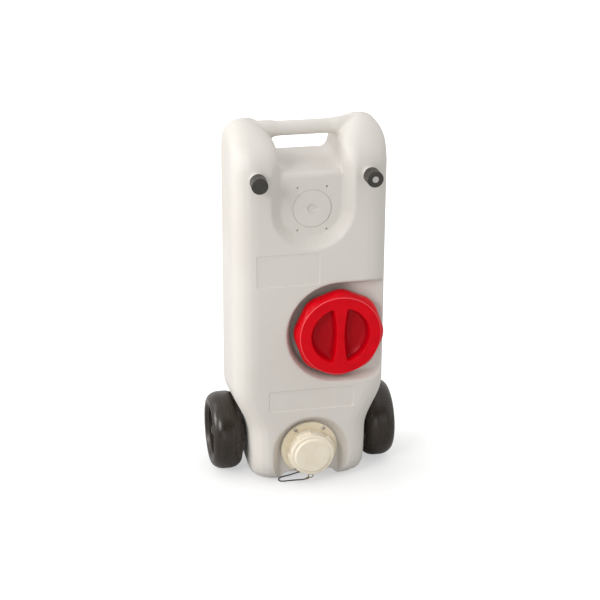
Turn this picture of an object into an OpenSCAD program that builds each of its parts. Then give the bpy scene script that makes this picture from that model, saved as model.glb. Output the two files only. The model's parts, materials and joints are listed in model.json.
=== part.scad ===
// Portable waste tote: a wheeled, free-standing tank with a carrying bar, a screw cap and a bayonet drain.
// Millimetres, +Z up. The origin is on the floor under the middle of the whole object, and -Y is the front.

/* [Tank] */
// Height from the floor to the crest of the horns
tank_h = 775; // [740:1:820]
// Width above the wheels
tank_w = 315; // [305:1:330]
// Depth from the front face to the back face
tank_d = 203; // [195:1:220]
// Radius of the upright edges
edge_r = 46; // [40:1:52]
// Wall thickness of the shell
wall = 4; // [3:0.5:5]
// Height over the wheels where the sides begin to draw in
shoulder_rise = 53; // [48:1:62]
// How far the drawn-in side drops towards the back, for each millimetre of depth
side_lean = 0.16; // [0:0.02:0.2]
// Height over the axle where the sides have drawn in
waist_rise = 29.5; // [18:0.5:42]
// How far each side has drawn in at the waist
waist_in = 35; // [33:0.5:44]
// How much further each side has drawn in at the foot
foot_in = 2; // [0:0.5:8]
// Rounding under the front of the foot
foot_front_r = 60; // [50:1:68]
// Rounding under the sides and back of the foot
foot_side_r = 26; // [20:1:34]
// Width of each foot, measured at the floor's level before its rounding
foot_each = 51; // [44:1:56]
// Depth of the feet, measured from the front face
foot_d = 120; // [105:1:135]
// Height of the belly above the floor between the feet
belly_z = 20; // [14:1:24]
// Height of the belly above the floor behind the feet
tail_z = 12; // [8:1:16]

/* [Horns and carrying bar] */
// Width of each horn
horn_w = 92; // [84:1:98]
// Height over which the horns round off to the front and back
horn_round_h = 80; // [70:1:84]
// Fullness of the horns from front to back: 2 is an ellipse, less is more pointed
horn_crown = 1.8; // [1.6:0.1:2]
// Fullness of the horns' inner sides towards the crest, in the same way
horn_slope = 1.6; // [1.5:0.1:2]
// Distance of a horn's crest in from the tank's side
crest_in = 40; // [36:1:46]
// Radius of the horns' inner upright edges
horn_inner_r = 30; // [20:1:36]
// Diameter of the carrying bar
bar_d = 31; // [26:1:34]
// Depth of the bar's axis below the crest
bar_drop = 22; // [20:1:27]
// Extra radius of the bar where it runs into the horns
bar_flare = 2.5; // [2:0.5:5]
// Length over which the bar swells towards a horn
bar_blend = 14; // [10:1:24]
// Radius of the hollow corner between a horn and the shelf
horn_fillet_r = 24; // [12:1:30]
// Rounding of the shelf's front edge
shelf_edge_r = 12; // [6:1:16]
// Rounding of the shelf's back edge
shelf_back_r = 22; // [14:1:26]
// Finger room between the bar and the shelf under it
grip_gap = 53; // [46:1:58]

/* [Front recesses] */
// Depth of the U-shaped recess under the bar
u_depth = 22; // [16:1:28]
// Step between the recess floor's edge and a horn
u_side = 1.5; // [0.5:0.5:6]
// Distance from the shelf down to the centre of the round end
u_drop = 72; // [66:1:84]
// Width of the sloping wall round the recess
u_bevel = 20; // [14:1:22]
// Radius of the raised disc on the recess floor
disc_r = 40; // [34:1:46]
// Radius of the dimple in the middle of the disc
dimple_r = 9.5; // [6:0.5:12]
// Height of raised and sunken marks
mark_depth = 1.2; // [0.6:0.1:1.6]
// Width of the upper plate
plate_w = 130; // [110:1:140]
// Height of the upper plate
plate_h = 66; // [56:1:70]
// Sideways place of the upper plate's middle
plate_x = -49; // [-55:1:-44]
// Height of the upper plate's middle
plate_z = 492; // [486:1:498]
// Width of the lower plate
low_plate_w = 176; // [150:1:186]
// Height of the lower plate
low_plate_h = 44; // [36:1:50]
// Height of the lower plate's middle
low_plate_z = 200; // [190:1:206]

/* [Inlet and its screw cap] */
// Distance from the cap's lobes to the tank's right side
inlet_side = 4.8; // [2:0.2:10]
// Height of the inlet's axis
inlet_z = 342; // [335:1:350]
// Depth of the pocket round the inlet
pocket_depth = 26; // [22:1:30]
// Room between the cap's lobes and the pocket's floor edge
pocket_gap = 2; // [1.5:0.5:5]
// How far the middle of the pocket sits above the middle of the cap
pocket_up = 3; // [0:0.5:4]
// Width of the pocket's sloping wall
pocket_bevel = 12; // [8:1:16]
// Outer radius of the inlet neck
neck_r = 76; // [72:0.5:78]
// Wall of the inlet neck
neck_wall = 7; // [5:0.5:8]
// Height of the cap's face over the tank's front face
cap_proud = 12; // [9:1:15]
// Height of the cap from its face to the edge of its skirt
cap_h = 27; // [23:1:30]
// Wall of the cap between the neck and the edge of its face
cap_wall = 7.4; // [5:0.2:9]
// Spread of the skirt past the face between its lobes
cap_flat = 4.6; // [3:0.1:5]
// Spread of the skirt past the face at its lobes
cap_lobe = 12; // [9:0.5:13]
// Radius of the hollows between the lobes
cap_hollow_r = 600; // [300:10:900]
// Drop of the rounded shoulder round the face
cap_shoulder = 18; // [10:1:21]
// Thickness of the cap's top
cap_top = 4; // [3:0.5:5]
// Gap between the dish's wall and the neck
dish_gap = 4.5; // [3:0.5:8]
// Depth of the sunken dish
dish_depth = 21; // [16:0.5:22]
// Wall of the dish
dish_wall = 2.5; // [2:0.5:3]
// Width of the grip bar at its ends
grip_w = 27; // [21:1:30]
// Width of the grip bar in the middle
grip_waist = 13; // [11:1:18]
// Thickness of the inlet's seal
inlet_seal_t = 2.5; // [2:0.5:3]

/* [Drain] */
// Height of the drain's axis
drain_z = 77; // [74:1:80]
// Depth of the arched recess round the drain
arch_depth = 28; // [26:1:30]
// Room between the flange and the recess's floor edge
arch_gap = 2.5; // [1.5:0.5:6]
// Width of the arched recess's sloping wall
arch_bevel = 19; // [10:1:22]
// Spread of the flange past the bayonet ears
flange_rim = 10; // [9:0.5:12]
// Thickness of the flange
flange_t = 6; // [5:0.5:8]
// Thickness of the gasket under the flange
gasket_t = 2; // [1.5:0.5:3]
// Bore radius of the spigot
spigot_bore_r = 36; // [33:0.5:36.5]
// Wall of the spigot
spigot_wall = 4.5; // [3.5:0.25:6]
// Length of the flange's sleeve inside the tank's hole
sleeve_l = 8; // [6:0.5:10]
// Height of the drain cap's face over the tank's front face
drain_cap_proud = 18.5; // [16:0.5:22]
// Height of the drain cap from its face to the edge of its skirt
drain_cap_h = 27; // [24:0.5:29]
// Wall of the drain cap's skirt
drain_cap_wall = 4.4; // [3.8:0.2:6]
// Rounding of the drain cap's rim
drain_cap_round = 5; // [3:0.5:6]
// Radius of the drain cap's raised middle
drain_face_r = 34; // [28:0.5:35]
// Height of the drain cap's raised middle over its rim
drain_step = 4; // [2:0.5:5]
// Thickness of the drain cap's top
drain_cap_top = 4; // [3:0.5:5]
// Wall of the bayonet ears outside the lugs
ear_wall = 5.4; // [4:0.2:7]
// Height of the bayonet ears
ear_h = 13; // [11:0.5:15]
// Reach of the bayonet lugs past the spigot
lug_reach = 3; // [2:0.25:3.5]
// Height of the spigot's bayonet lugs
lug_h = 4; // [3:0.5:5]
// Angle that one bayonet lug covers
lug_angle = 9; // [6:1:12]
// Turn that frees the bayonet
bayonet_turn = 25; // [20:1:30]
// Thickness of the drain's seal
drain_seal_t = 2.5; // [2:0.5:3]
// Distance of the drain's seal from the bore's edge
drain_seal_in = 1.6; // [1.2:0.1:2]
// Distance of the flange screws from the flange's edge
screw_edge = 6.1; // [5:0.1:7]
// Angle of the flange screws over the level
screw_angle = 56.5; // [45:0.5:65]
// Shank diameter of a flange screw
screw_d = 3.9; // [3:0.1:4.2]
// Length of a flange screw under its head
screw_l = 16; // [13:0.5:20]
// Head diameter of a flange screw
screw_head_d = 8.6; // [7:0.2:9.4]
// Head height of a flange screw
screw_head_h = 2.8; // [2:0.2:3.4]

/* [Tether] */
// Diameter of the cord
cord_d = 2.8; // [2:0.1:3]
// Outer diameter of the crimped sleeve and stop
crimp_d = 4.4; // [4:0.2:5]
// Radius of the ring's centre line
ring_r = 5; // [4.5:0.1:6]
// Diameter of the ring's wire
ring_wire = 1.8; // [1.4:0.1:2]
// Length of the crimped sleeve
sleeve_crimp_l = 6.4; // [5:0.2:8]
// Thickness of the two eyes
eye_t = 3; // [2.5:0.5:4]
// Half width of the two eyes
eye_half = 3.4; // [3:0.1:4]

/* [Wheels] */
// Clear gap between a wheel and the tank's waist
wheel_clear = 10; // [8:0.5:14]
// Room over a wheel, in the arch it stands under
arch_room = 3; // [2:0.5:5]
// Radius of a wheel
wheel_r = 82.5; // [80:0.5:84]
// Width of a wheel
wheel_w = 63; // [58:1:66]
// Height of a wheel's rounded shoulders
wheel_round = 19; // [14:0.5:22]
// Width of a wheel's rounded shoulders
wheel_crown = 26; // [18:0.5:28]
// Flat rim between a wheel's shoulder and its dish
wheel_rim = 1; // [0.5:0.5:5]
// Slope of the dish's wall, from its rim to its bottom
wheel_slope = 8.5; // [4:0.5:12]
// Thickness of a wheel's web
wheel_web = 6; // [4:0.5:10]
// Depth of a wheel's inner dish
wheel_back_d = 24; // [18:1:28]
// Radius of a wheel's hub
hub_r = 17; // [14:1:20]
// Depth of the hub's end below a wheel's outer face
hub_sunk = 16; // [14:1:20]
// Distance of the axle behind the tank's front face
axle_y = 128.5; // [122:0.5:134]
// Axle diameter
axle_d = 12; // [10:0.5:14]
// Length of the axle past a wheel's hub
axle_end_l = 8; // [6:0.5:9]
// Thickness of a thrust washer
washer_t = 2; // [1.5:0.5:3]
// Outer radius of a thrust washer and of the tank's axle boss
washer_r = 14; // [12:0.5:17]
// Outer radius of a push-on axle cap
axle_cap_r = 11; // [10:0.5:13]
// Wall of a push-on axle cap
axle_cap_wall = 2; // [1.5:0.5:2.5]
// Rounding of a push-on axle cap
axle_cap_round = 4; // [2:0.5:5]

/* [Vents] */
// Sideways place of a vent from the middle of its horn
vent_side = 0.5; // [-3:0.5:4]
// Depth of the vents below the crest
vent_drop = 92; // [89:1:99]
// Angle by which the vents point outwards
vent_splay = 3; // [0:0.5:8]
// Wall of a vent cap round its neck
vent_cap_wall = 4.9; // [4:0.1:6]
// Length of a vent cap
vent_cap_l = 29; // [26:0.5:32]
// Distance of a vent cap's face from the horn
vent_face = 43; // [40:0.5:46]
// How much narrower than a vent cap the horn's boss under it is
vent_boss = 5; // [4:0.5:5]
// Wall of a vent neck
vent_neck_wall = 4; // [3:0.25:5]
// Bore radius of a vent neck
vent_bore_r = 7; // [5:0.25:7.5]
// Length of a vent neck inside its cap
vent_engage = 16; // [13:0.5:18]
// Number of grip flutes round a vent cap
vent_flutes = 30; // [20:2:40]
// Radius of one grip flute
vent_flute_r = 1.1; // [0.8:0.1:1.3]
// Edge chamfer of a vent cap
vent_chamfer = 1.2; // [0.6:0.1:2]
// Thickness of a vent's seal
vent_seal_t = 1.5; // [1:0.25:2]
// Radius of the pale plug in the right vent cap
insert_r = 6.5; // [5.5:0.25:8]
// Depth of the pale plug's seat
insert_depth = 3; // [2:0.25:4]
// Height of the pale plug over the cap's face, inside the cap's reach
insert_sunk = 0.4; // [0.2:0.1:0.8]

/* [Fits] */
// Gap between pieces that move past each other
move_gap = 0.6; // [0.4:0.05:0.8]
// Gap between a seal and what it faces
seal_gap = 0.3; // [0.25:0.05:0.4]
// Radial running clearance of a wheel on its axle
axle_play = 0.08; // [0.04:0.01:0.1]
// Gap between fixed pieces that are pushed together
seat_gap = 0.15; // [0.1:0.05:0.25]

/* [Hidden] */
$fn = 64;

// Facets of an upright edge and of the tank's round cuts, and an overlap that keeps cuts clean
arc_n = 5;
tank_fn = 36;
eps = 0.01;
cut = 2;

// The whole object's reach in front of and behind the tank's front face, where the vent caps reach furthest
vent_neck_r = vent_bore_r + vent_neck_wall;
vent_cap_r = vent_neck_r + move_gap + vent_cap_wall;
vent_boss_r = vent_cap_r - vent_boss;
vent_reach = vent_face * cos(vent_splay) + (vent_cap_r - vent_chamfer) * sin(vent_splay);
rear_reach = max(tank_d, axle_y + wheel_r);
y_front = (vent_reach - rear_reach) / 2;
y_mid = y_front + tank_d / 2;

// Heights that follow from the crest
bar_z = tank_h - bar_drop;
shelf_z = bar_z - bar_d / 2 - grip_gap;
u_z = shelf_z - u_drop;
vent_z = tank_h - vent_drop;
horn_x = tank_w / 2 - horn_w / 2;
horn_in = tank_w / 2 - horn_w;
vent_x = horn_x + vent_side;
u_floor_r = horn_in - u_side;

// Widths that follow from the tank's
waist_w = tank_w - 2 * waist_in;
foot_w = waist_w - 2 * foot_in;
foot_gap = foot_w - 2 * foot_each;

// Heights that follow from the wheels
shoulder_z = 2 * wheel_r + shoulder_rise;
waist_z = wheel_r + waist_rise;

// Radii that follow from the inlet's neck and the drain's bore
neck_bore_r = neck_r - neck_wall;
dish_r = neck_bore_r - dish_gap - dish_wall;
cap_face_r = neck_r + move_gap + cap_wall;
cap_skirt_r = cap_face_r + cap_flat;
cap_reach = cap_face_r + cap_lobe;
pocket_r = cap_reach + pocket_gap;
inlet_x = tank_w / 2 - cap_reach - inlet_side;
spigot_r = spigot_bore_r + spigot_wall;
lug_r = spigot_r + lug_reach;
drain_cap_r = spigot_r + move_gap + drain_cap_wall;
ear_r = lug_r + move_gap + ear_wall;
flange_r = ear_r + flange_rim;
arch_r = flange_r + arch_gap;

// Inlet heights, measured outwards from the tank's front face
inlet_seal_z = cap_proud - cap_top - seal_gap - inlet_seal_t;
neck_top = inlet_seal_z - seal_gap;

// Drain heights, measured outwards from the tank's front face
gasket_z = -arch_depth;
flange_z = gasket_z + gasket_t;
flange_top = flange_z + flange_t;
drain_seal_z = drain_cap_proud - drain_step - drain_cap_top - seal_gap - drain_seal_t;
spigot_top = drain_seal_z - seal_gap;
skirt_edge = drain_cap_proud - drain_cap_h;
lug_z = skirt_edge + 4;
sleeve_r = spigot_r - 1.5;
drain_hole_r = sleeve_r + 2 * seat_gap + eps;
screw_places = [for (sx = [-1, 1], sz = [-1, 1])
    (flange_r - screw_edge) * [sx * cos(screw_angle), sz * sin(screw_angle)]];
lug_turns = [for (k = [0:3]) 90 * k + bayonet_turn + lug_angle];

// Wheel places along the axle
wheel_in = waist_w / 2 + wheel_clear;
wheel_out = wheel_in + wheel_w;
wheel_lip_r = wheel_r - wheel_round - wheel_rim;
wheel_dish_r = wheel_lip_r - wheel_slope;
wheel_dish_d = wheel_w - wheel_back_d - wheel_web;
boss_end = wheel_in - seal_gap - washer_t;
hub_end = wheel_out - hub_sunk;
axle_half = hub_end + axle_end_l;
axle_cap_l = axle_end_l + axle_cap_wall;
axle_hole_r = axle_d / 2 + 2 * seat_gap;

// Vent lengths, measured along the vent's own axis from the horn
vent_base = vent_face - vent_cap_l;
vent_top = vent_base + vent_engage;
vent_floor = vent_top + 2 * seal_gap + vent_seal_t;

// The tether: its two eyes, and the route from the flange's eye by the floor to the ring, from the front face
flange_eye = [-16, 15.5, drain_z - 52];
cap_eye = [0, 3, drain_z - drain_cap_r - 5.5];
cord_route = [
    [-17.5, 15.5, 25], [-22, 15.6, 24.8], [-26, 16.8, 23.4], [-29.8, 19.6, 20.6], [-33.4, 24.6, 16.8],
    [-37, 30.6, 12.2], [-40.8, 36.4, 7.8], [-45, 41, 4.4], [-49.8, 43.4, 2.2], [-54.8, 43.2, 1.5],
    [-59.2, 40.4, 1.4], [-62.2, 36, 1.4], [-62.9, 31, 1.4], [-61, 26.9, 1.4], [-57, 24.7, 1.4],
    [-51, 24.2, 1.4], [-44, 24.4, 1.4], [-37, 24.2, 1.6], [-30, 22.4, 2.6], [-23.6, 18.8, 4.4],
    [-17.8, 14, 6.8], [-12.7, 9.3, 9.7], [-8.9, 6.5, 12.5]];
cord_end = cord_route[len(cord_route) - 1];
cord_way = cord_end - cord_route[len(cord_route) - 2];
sleeve_end = cord_end + sleeve_crimp_l * cord_way / norm(cord_way);
cord_sides = 8;

// One rounded section of the tank: height, middle and half size in X, middle and half size in Y, edge radii,
// and how far it drops for each millimetre towards the back
function section(s) = [for (c = [0:3], k = [0:arc_n])
    let (
        sx = (c == 0 || c == 3) ? 1 : -1,
        sy = c < 2 ? 1 : -1,
        r = sx > 0 ? s[5] : s[6],
        a = 90 * (c + k / arc_n),
        y = s[3] + sy * (s[4] - r) + r * sin(a))
    [s[1] + sx * (s[2] - r) + r * cos(a), y, s[0] - s[7] * (y - y_front - edge_r)]];

// Half width of the tank at a height: straight, drawn in by an S-curve over the wheels, then tapering down
function half_w(z) = z >= shoulder_z ? tank_w / 2
    : z >= waist_z
        ? let (u = (z - waist_z) / (shoulder_z - waist_z))
            (waist_w + (tank_w - waist_w) * u * u * (3 - 2 * u)) / 2
        : (foot_w + (waist_w - foot_w) * z / waist_z) / 2;

// How far a rounded lower edge has drawn in at a height above its bottom
function tuck(h, r) = h >= r ? 0 : r - sqrt(r * r - (r - h) * (r - h));

function body_section(z, t) = let (
    hx = half_w(z) - t - tuck(z - t, foot_side_r - t),
    near = y_front + t + tuck(z - t, foot_front_r - t),
    far = y_front + tank_d - t - tuck(z - t, foot_side_r - t))
    [z, 0, hx, (near + far) / 2, (far - near) / 2, edge_r - t, edge_r - t,
        z >= waist_z && z <= shoulder_z ? side_lean : 0];

function body_heights(t) = concat([for (a = [0:15:90]) t + (foot_front_r - t) * (1 - cos(a))],
    [for (k = [0:10]) waist_z + (shoulder_z - waist_z) * k / 10], [shelf_z - t]);

// A horn: round across its width, gently rounded from front to back, with a hollow corner at the shelf
function horn_section(z, t) = let (
    over = max(0, z - (tank_h - horn_w / 2)) / (horn_w / 2 - t),
    rise = max(0, z - (tank_h - horn_round_h)) / (horn_round_h - t),
    k = sqrt(max(0, 1 - over * over)),
    k_in = pow(max(0, 1 - pow(over, horn_slope)), 1 / horn_slope),
    hy = (tank_d / 2 - t) * pow(max(0, 1 - pow(rise, horn_crown)), 1 / horn_crown),
    foot = tuck(max(0, z - shelf_z + t), horn_fillet_r + t),
    crest_x = tank_w / 2 - crest_in,
    outer = crest_x + (crest_in - t) * k,
    inner = crest_x - (horn_w - crest_in - t) * k_in - foot)
    [z, (outer + inner) / 2, (outer - inner) / 2, y_mid, hy, min((edge_r - t) * k, hy),
        min(horn_inner_r * k, hy), 0];

function horn_heights(t) = concat([shelf_z - t - wall * 4],
    [for (a = [0:18:72]) shelf_z - t + (horn_fillet_r + t) * (1 - cos(a))],
    [for (a = [18:9:81]) tank_h - horn_round_h + (horn_round_h - t) * sin(a)],
    [tank_h - horn_round_h + (horn_round_h - t) * sin(87)]);

// A solid through a stack of sections
module loft(sections) {
    n = 4 * (arc_n + 1);
    last = n * (len(sections) - 1);
    polyhedron(
        points = [for (s = sections) each section(s)],
        faces = concat([[for (i = [0:n - 1]) i]], [[for (i = [0:n - 1]) last + n - 1 - i]],
            [for (j = [0:len(sections) - 2], i = [0:n - 1]) let (a = j * n + i, b = j * n + (i + 1) % n)
                each [[a, a + n, b + n], [a, b + n, b]]]));
}

// The tank's outline, drawn in by a wall thickness for the space inside it
module tank_form(t) {
    loft([for (z = body_heights(t)) body_section(z, t)]);
    for (side = [0, 1]) mirror([side, 0, 0]) loft([for (z = horn_heights(t)) horn_section(z, t)]);
}

// Places things on the tank's front face: X stays, local Y is up, local Z points out of the face
module on_front(x, z) translate([x, y_front, z]) rotate([90, 0, 0]) children();

// Places things on a vent's own axis, -1 left and 1 right
module on_vent(side) translate([side * vent_x, y_front, vent_z]) rotate([90, 0, side * vent_splay]) children();

// Places things along the axle, outwards along X on either side
module on_axle(side) translate([0, y_front + axle_y, wheel_r]) rotate([0, side * 90, 0]) children();

// A recess square to the front face: the child is its floor, and its wall slopes out to the face
module recess(depth, bevel, grow) hull() {
    translate([0, 0, -depth - grow]) linear_extrude(eps) offset(r = grow + eps) children();
    translate([0, 0, cut]) linear_extrude(eps) offset(r = grow + bevel * (1 + cut / depth)) children();
}

module u_floor() {
    translate([0, u_z]) circle(r = u_floor_r);
    translate([-u_floor_r, u_z]) square([2 * u_floor_r, tank_h]);
}

module pocket_floor() translate([inlet_x, inlet_z + pocket_up]) {
    circle(r = pocket_r);
    translate([0, -pocket_r]) square([tank_w, 2 * pocket_r]);
}

module arch_floor() translate([0, drain_z]) {
    circle(r = arch_r);
    translate([-arch_r, -tank_h]) square([2 * arch_r, tank_h]);
}

// The raised belly between the feet
module belly(grow) hull() for (e = [[-cut, foot_gap / 2 + cut], [belly_z + grow, foot_gap / 2 - belly_z]])
    translate([-e[1] - grow, y_front - cut, e[0]]) cube([2 * (e[1] + grow), tank_d + 2 * cut, eps]);

// The raised belly behind the feet
module tail(grow) hull() for (e = [[-cut, foot_d - cut], [tail_z + grow, foot_d + tail_z]])
    translate([-tank_w / 2, y_front + e[1] - grow, e[0]]) cube([tank_w, tank_d, eps]);

// The rounding of the shelf's front edge, between the horns
module shelf_edge(grow) translate([-u_floor_r - grow, y_front + u_depth, shelf_z]) rotate([90, 0, 90])
    linear_extrude(2 * (u_floor_r + grow)) difference() {
        translate([-cut, -shelf_edge_r]) square([shelf_edge_r + cut + grow, shelf_edge_r + horn_fillet_r + grow]);
        translate([shelf_edge_r, -shelf_edge_r]) circle(r = shelf_edge_r - grow);
        translate([shelf_edge_r, -shelf_edge_r]) square([2 * grow + eps, shelf_edge_r - grow]);
    }

// The rounding of the shelf's back edge, between the horns
module shelf_back(grow) translate([-horn_in - grow, y_front + tank_d, shelf_z]) rotate([90, 0, 90])
    linear_extrude(2 * (horn_in + grow)) difference() {
        translate([-shelf_back_r - grow, -shelf_back_r])
            square([shelf_back_r + cut + grow, shelf_back_r + horn_fillet_r + grow]);
        translate([-shelf_back_r, -shelf_back_r]) circle(r = shelf_back_r - grow);
        translate([-shelf_back_r - 2 * grow, -shelf_back_r]) square([2 * grow + eps, shelf_back_r - grow]);
    }

// The arch a wheel stands under
module wheel_arch(grow) for (side = [-1, 1]) on_axle(side) translate([0, 0, wheel_in - arch_room - grow])
    cylinder(r = wheel_r + arch_room + grow, h = tank_w, $fn = 2 * tank_fn);

module recesses(grow) {
    shelf_edge(grow);
    shelf_back(grow);
    wheel_arch(grow);
    on_front(0, 0) {
        recess(u_depth, u_bevel, grow) u_floor();
        recess(pocket_depth, pocket_bevel, grow) pocket_floor();
        recess(arch_depth, arch_bevel, grow) arch_floor();
    }
    belly(grow);
    tail(grow);
}

// Radius of the carrying bar at a place along it: plain in the middle, swelling as it runs into a horn
function bar_radius(x) = let (u = max(0, min(1, (abs(x) - horn_in + bar_blend) / (1.25 * bar_blend))))
    bar_d / 2 + bar_flare * u * u * (3 - 2 * u);

bar_places = [horn_x, for (k = [0:6]) horn_in + bar_blend / 4 - 1.25 * bar_blend * k / 6];

module carrying_bar() translate([0, y_mid, bar_z]) rotate([0, 90, 0])
    for (side = [0, 1]) mirror([0, 0, side]) rotate_extrude()
        polygon(concat([[0, -eps], [0, horn_x]], [for (x = bar_places) [bar_radius(x), x]], [[bar_d / 2, -eps]]));

module sunk_plate(x, z, w, h) on_front(x, z) translate([-w / 2, -h / 2, -mark_depth])
    cube([w, h, mark_depth + cut]);

module tank_shell() color("#d3cec7") let ($fn = tank_fn) difference() {
    union() {
        difference() {
            tank_form(0);
            recesses(0);
        }
        carrying_bar();
        on_front(inlet_x, inlet_z) translate([0, 0, -pocket_depth - wall])
            cylinder(r = neck_r, h = pocket_depth + wall + neck_top);
        on_front(0, u_z) translate([0, 0, -u_depth - eps]) cylinder(r = disc_r, h = mark_depth);
        for (side = [-1, 1]) {
            on_vent(side) translate([0, 0, -2 * wall]) cylinder(r1 = vent_boss_r + 2, r2 = vent_boss_r,
                h = vent_base + 2 * wall - move_gap);
            on_vent(side) cylinder(r = vent_neck_r, h = vent_top);
            on_axle(side) cylinder(r = washer_r, h = boss_end);
        }
    }
    // The space inside, kept clear of the recesses, the axle tunnel and the screw bosses by one wall
    difference() {
        tank_form(wall);
        recesses(wall);
        for (side = [-1, 1]) on_axle(side) cylinder(r = washer_r, h = boss_end);
        for (p = screw_places) on_front(p[0], drain_z + p[1]) translate([0, 0, gasket_z - screw_l - wall])
            cylinder(d = screw_head_d + wall, h = screw_l, $fn = 24);
    }
    on_front(inlet_x, inlet_z) translate([0, 0, -pocket_depth - 3 * wall])
        cylinder(r = neck_bore_r, h = pocket_depth + 3 * wall + neck_top + cut);
    on_front(0, drain_z) translate([0, 0, gasket_z - 3 * wall]) cylinder(r = drain_hole_r, h = 3 * wall + cut);
    for (p = screw_places) on_front(p[0], drain_z + p[1]) translate([0, 0, gasket_z - screw_l])
        cylinder(d = screw_d + 2 * seat_gap, h = screw_l + cut, $fn = 24);
    for (p = screw_places) on_front(p[0], u_z + p[1]) translate([0, 0, -u_depth - mark_depth])
        cylinder(d = screw_d, h = mark_depth + cut, $fn = 16);
    on_front(0, u_z) translate([0, 0, -u_depth]) cylinder(r = dimple_r, h = mark_depth + cut);
    for (side = [-1, 1]) {
        on_vent(side) translate([0, 0, -4 * wall])
            cylinder(r = vent_bore_r, h = 4 * wall + vent_top + cut, $fn = 32);
        on_axle(side) cylinder(r = axle_hole_r, h = boss_end + cut, $fn = 32);
    }
    sunk_plate(plate_x, plate_z, plate_w, plate_h);
    sunk_plate(0, low_plate_z, low_plate_w, low_plate_h);
}

// The outline of the screw cap's skirt: eight lobes with shallow hollows between them
module lobed_skirt() difference() {
    circle(r = cap_reach);
    for (k = [0:7]) rotate(45 * k + 22.5) translate([cap_skirt_r + cap_hollow_r, 0])
        circle(r = cap_hollow_r, $fn = 128);
}

// The grip in the cap's dish: a bar with hollowed sides
module grip_outline() intersection() {
    difference() {
        square([grip_w, 2 * cap_face_r], center = true);
        hollow = (grip_w - grip_waist) / 2;
        hollow_r = (dish_r * dish_r + hollow * hollow) / (2 * hollow);
        for (side = [-1, 1]) translate([side * (grip_waist / 2 + hollow_r), 0]) circle(r = hollow_r, $fn = 128);
    }
    circle(r = dish_r + dish_wall / 2);
}

module inlet_cap() color("#cc0a1a") on_front(inlet_x, inlet_z) translate([0, 0, cap_proud]) {
    difference() {
        intersection() {
            translate([0, 0, -cap_h]) linear_extrude(cap_h) lobed_skirt();
            rotate_extrude() polygon(concat([[0, -cap_h], [cap_reach + eps, -cap_h]],
                [for (a = [0:11:55]) [
                    cap_face_r + (cap_reach + eps - cap_face_r) * (cos(a) - cos(55)) / (1 - cos(55)),
                    -cap_shoulder * (1 - sin(a) / sin(55))]], [[0, 0]]));
        }
        translate([0, 0, -cap_h - cut]) difference() {
            cylinder(r = neck_r + move_gap, h = cap_h + cut - cap_top);
            cylinder(r = dish_r + dish_wall, h = cap_h + cut);
        }
        translate([0, 0, -cap_h - cut])
            cylinder(r = dish_r + dish_wall + eps, h = cap_h + cut - dish_depth - dish_wall);
        translate([0, 0, -dish_depth]) cylinder(r = dish_r, h = dish_depth + cut);
    }
    translate([0, 0, -dish_depth - eps]) linear_extrude(dish_depth + eps) grip_outline();
}

module ring_solid(r_in, r_out, h) difference() {
    cylinder(r = r_out, h = h);
    translate([0, 0, -cut]) cylinder(r = r_in, h = h + 2 * cut);
}

module inlet_seal() color("#26241f") on_front(inlet_x, inlet_z) translate([0, 0, inlet_seal_z])
    ring_solid(neck_bore_r + seal_gap, neck_r - seal_gap, inlet_seal_t);

module drain_gasket() color("#2a2824") on_front(0, drain_z) translate([0, 0, gasket_z]) difference() {
    ring_solid(sleeve_r + seat_gap, flange_r - 1, gasket_t);
    for (p = screw_places) translate([p[0], p[1], -cut])
        cylinder(d = screw_d + 2 * seat_gap, h = gasket_t + 2 * cut);
}

// A flat sector of a circle, used for the bayonet's lugs, ears and tracks
module sector(r, from, to) intersection() {
    circle(r = r);
    polygon([[0, 0], 2 * r * [cos(from), sin(from)], 2 * r * [cos((from + to) / 2), sin((from + to) / 2)],
        2 * r * [cos(to), sin(to)]]);
}

// An eye for the tether: a small upright tab with a round end and a hole across it
module eye(place, root, hole_d) translate([place[0], y_front + place[1], place[2]]) rotate([0, 90, 0])
    difference() {
        translate([0, 0, -eye_t / 2]) linear_extrude(eye_t) {
            circle(r = eye_half);
            translate(root[0]) square(root[1]);
        }
        translate([0, 0, -eye_t]) cylinder(d = hole_d, h = 2 * eye_t);
    }

module drain_flange() color("#d8cba8") {
    on_front(0, drain_z) difference() {
        union() {
            translate([0, 0, flange_z]) cylinder(r = flange_r, h = flange_t);
            translate([0, 0, gasket_z - sleeve_l]) cylinder(r = sleeve_r, h = sleeve_l + gasket_t + cut);
            translate([0, 0, flange_z]) cylinder(r = spigot_r, h = spigot_top - flange_z);
            for (a = lug_turns) translate([0, 0, lug_z]) linear_extrude(lug_h)
                sector(lug_r, a - lug_angle / 2, a + lug_angle / 2);
        }
        translate([0, 0, gasket_z - sleeve_l - cut])
            cylinder(r = spigot_bore_r, h = sleeve_l - gasket_z + spigot_top + 2 * cut);
        for (p = screw_places) translate([p[0], p[1], flange_z - cut])
            cylinder(d = screw_d + 2 * seat_gap, h = flange_t + 2 * cut);
    }
    eye(flange_eye, [[-eye_half, 0], [2 * eye_half, -flange_top - flange_eye[1] + 1]], cord_d + 2 * seat_gap);
}

module drain_screws() color("#b9b7b0") for (p = screw_places) on_front(p[0], drain_z + p[1]) {
    translate([0, 0, flange_top]) cylinder(d = screw_head_d, h = screw_head_h);
    translate([0, 0, flange_top - screw_l]) cylinder(d = screw_d, h = screw_l + eps);
}

// The drain cap's outline: a round rim with a softly raised middle
function drain_cap_profile() = concat([[0, -drain_cap_h], [drain_cap_r, -drain_cap_h]],
    [for (a = [0:15:90])
        [drain_cap_r - drain_cap_round * (1 - cos(a)), -drain_step - drain_cap_round * (1 - sin(a))]],
    [for (a = [0:15:90]) [drain_face_r + drain_step * cos(a), -drain_step * (1 - sin(a))]], [[0, 0]]);

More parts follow.
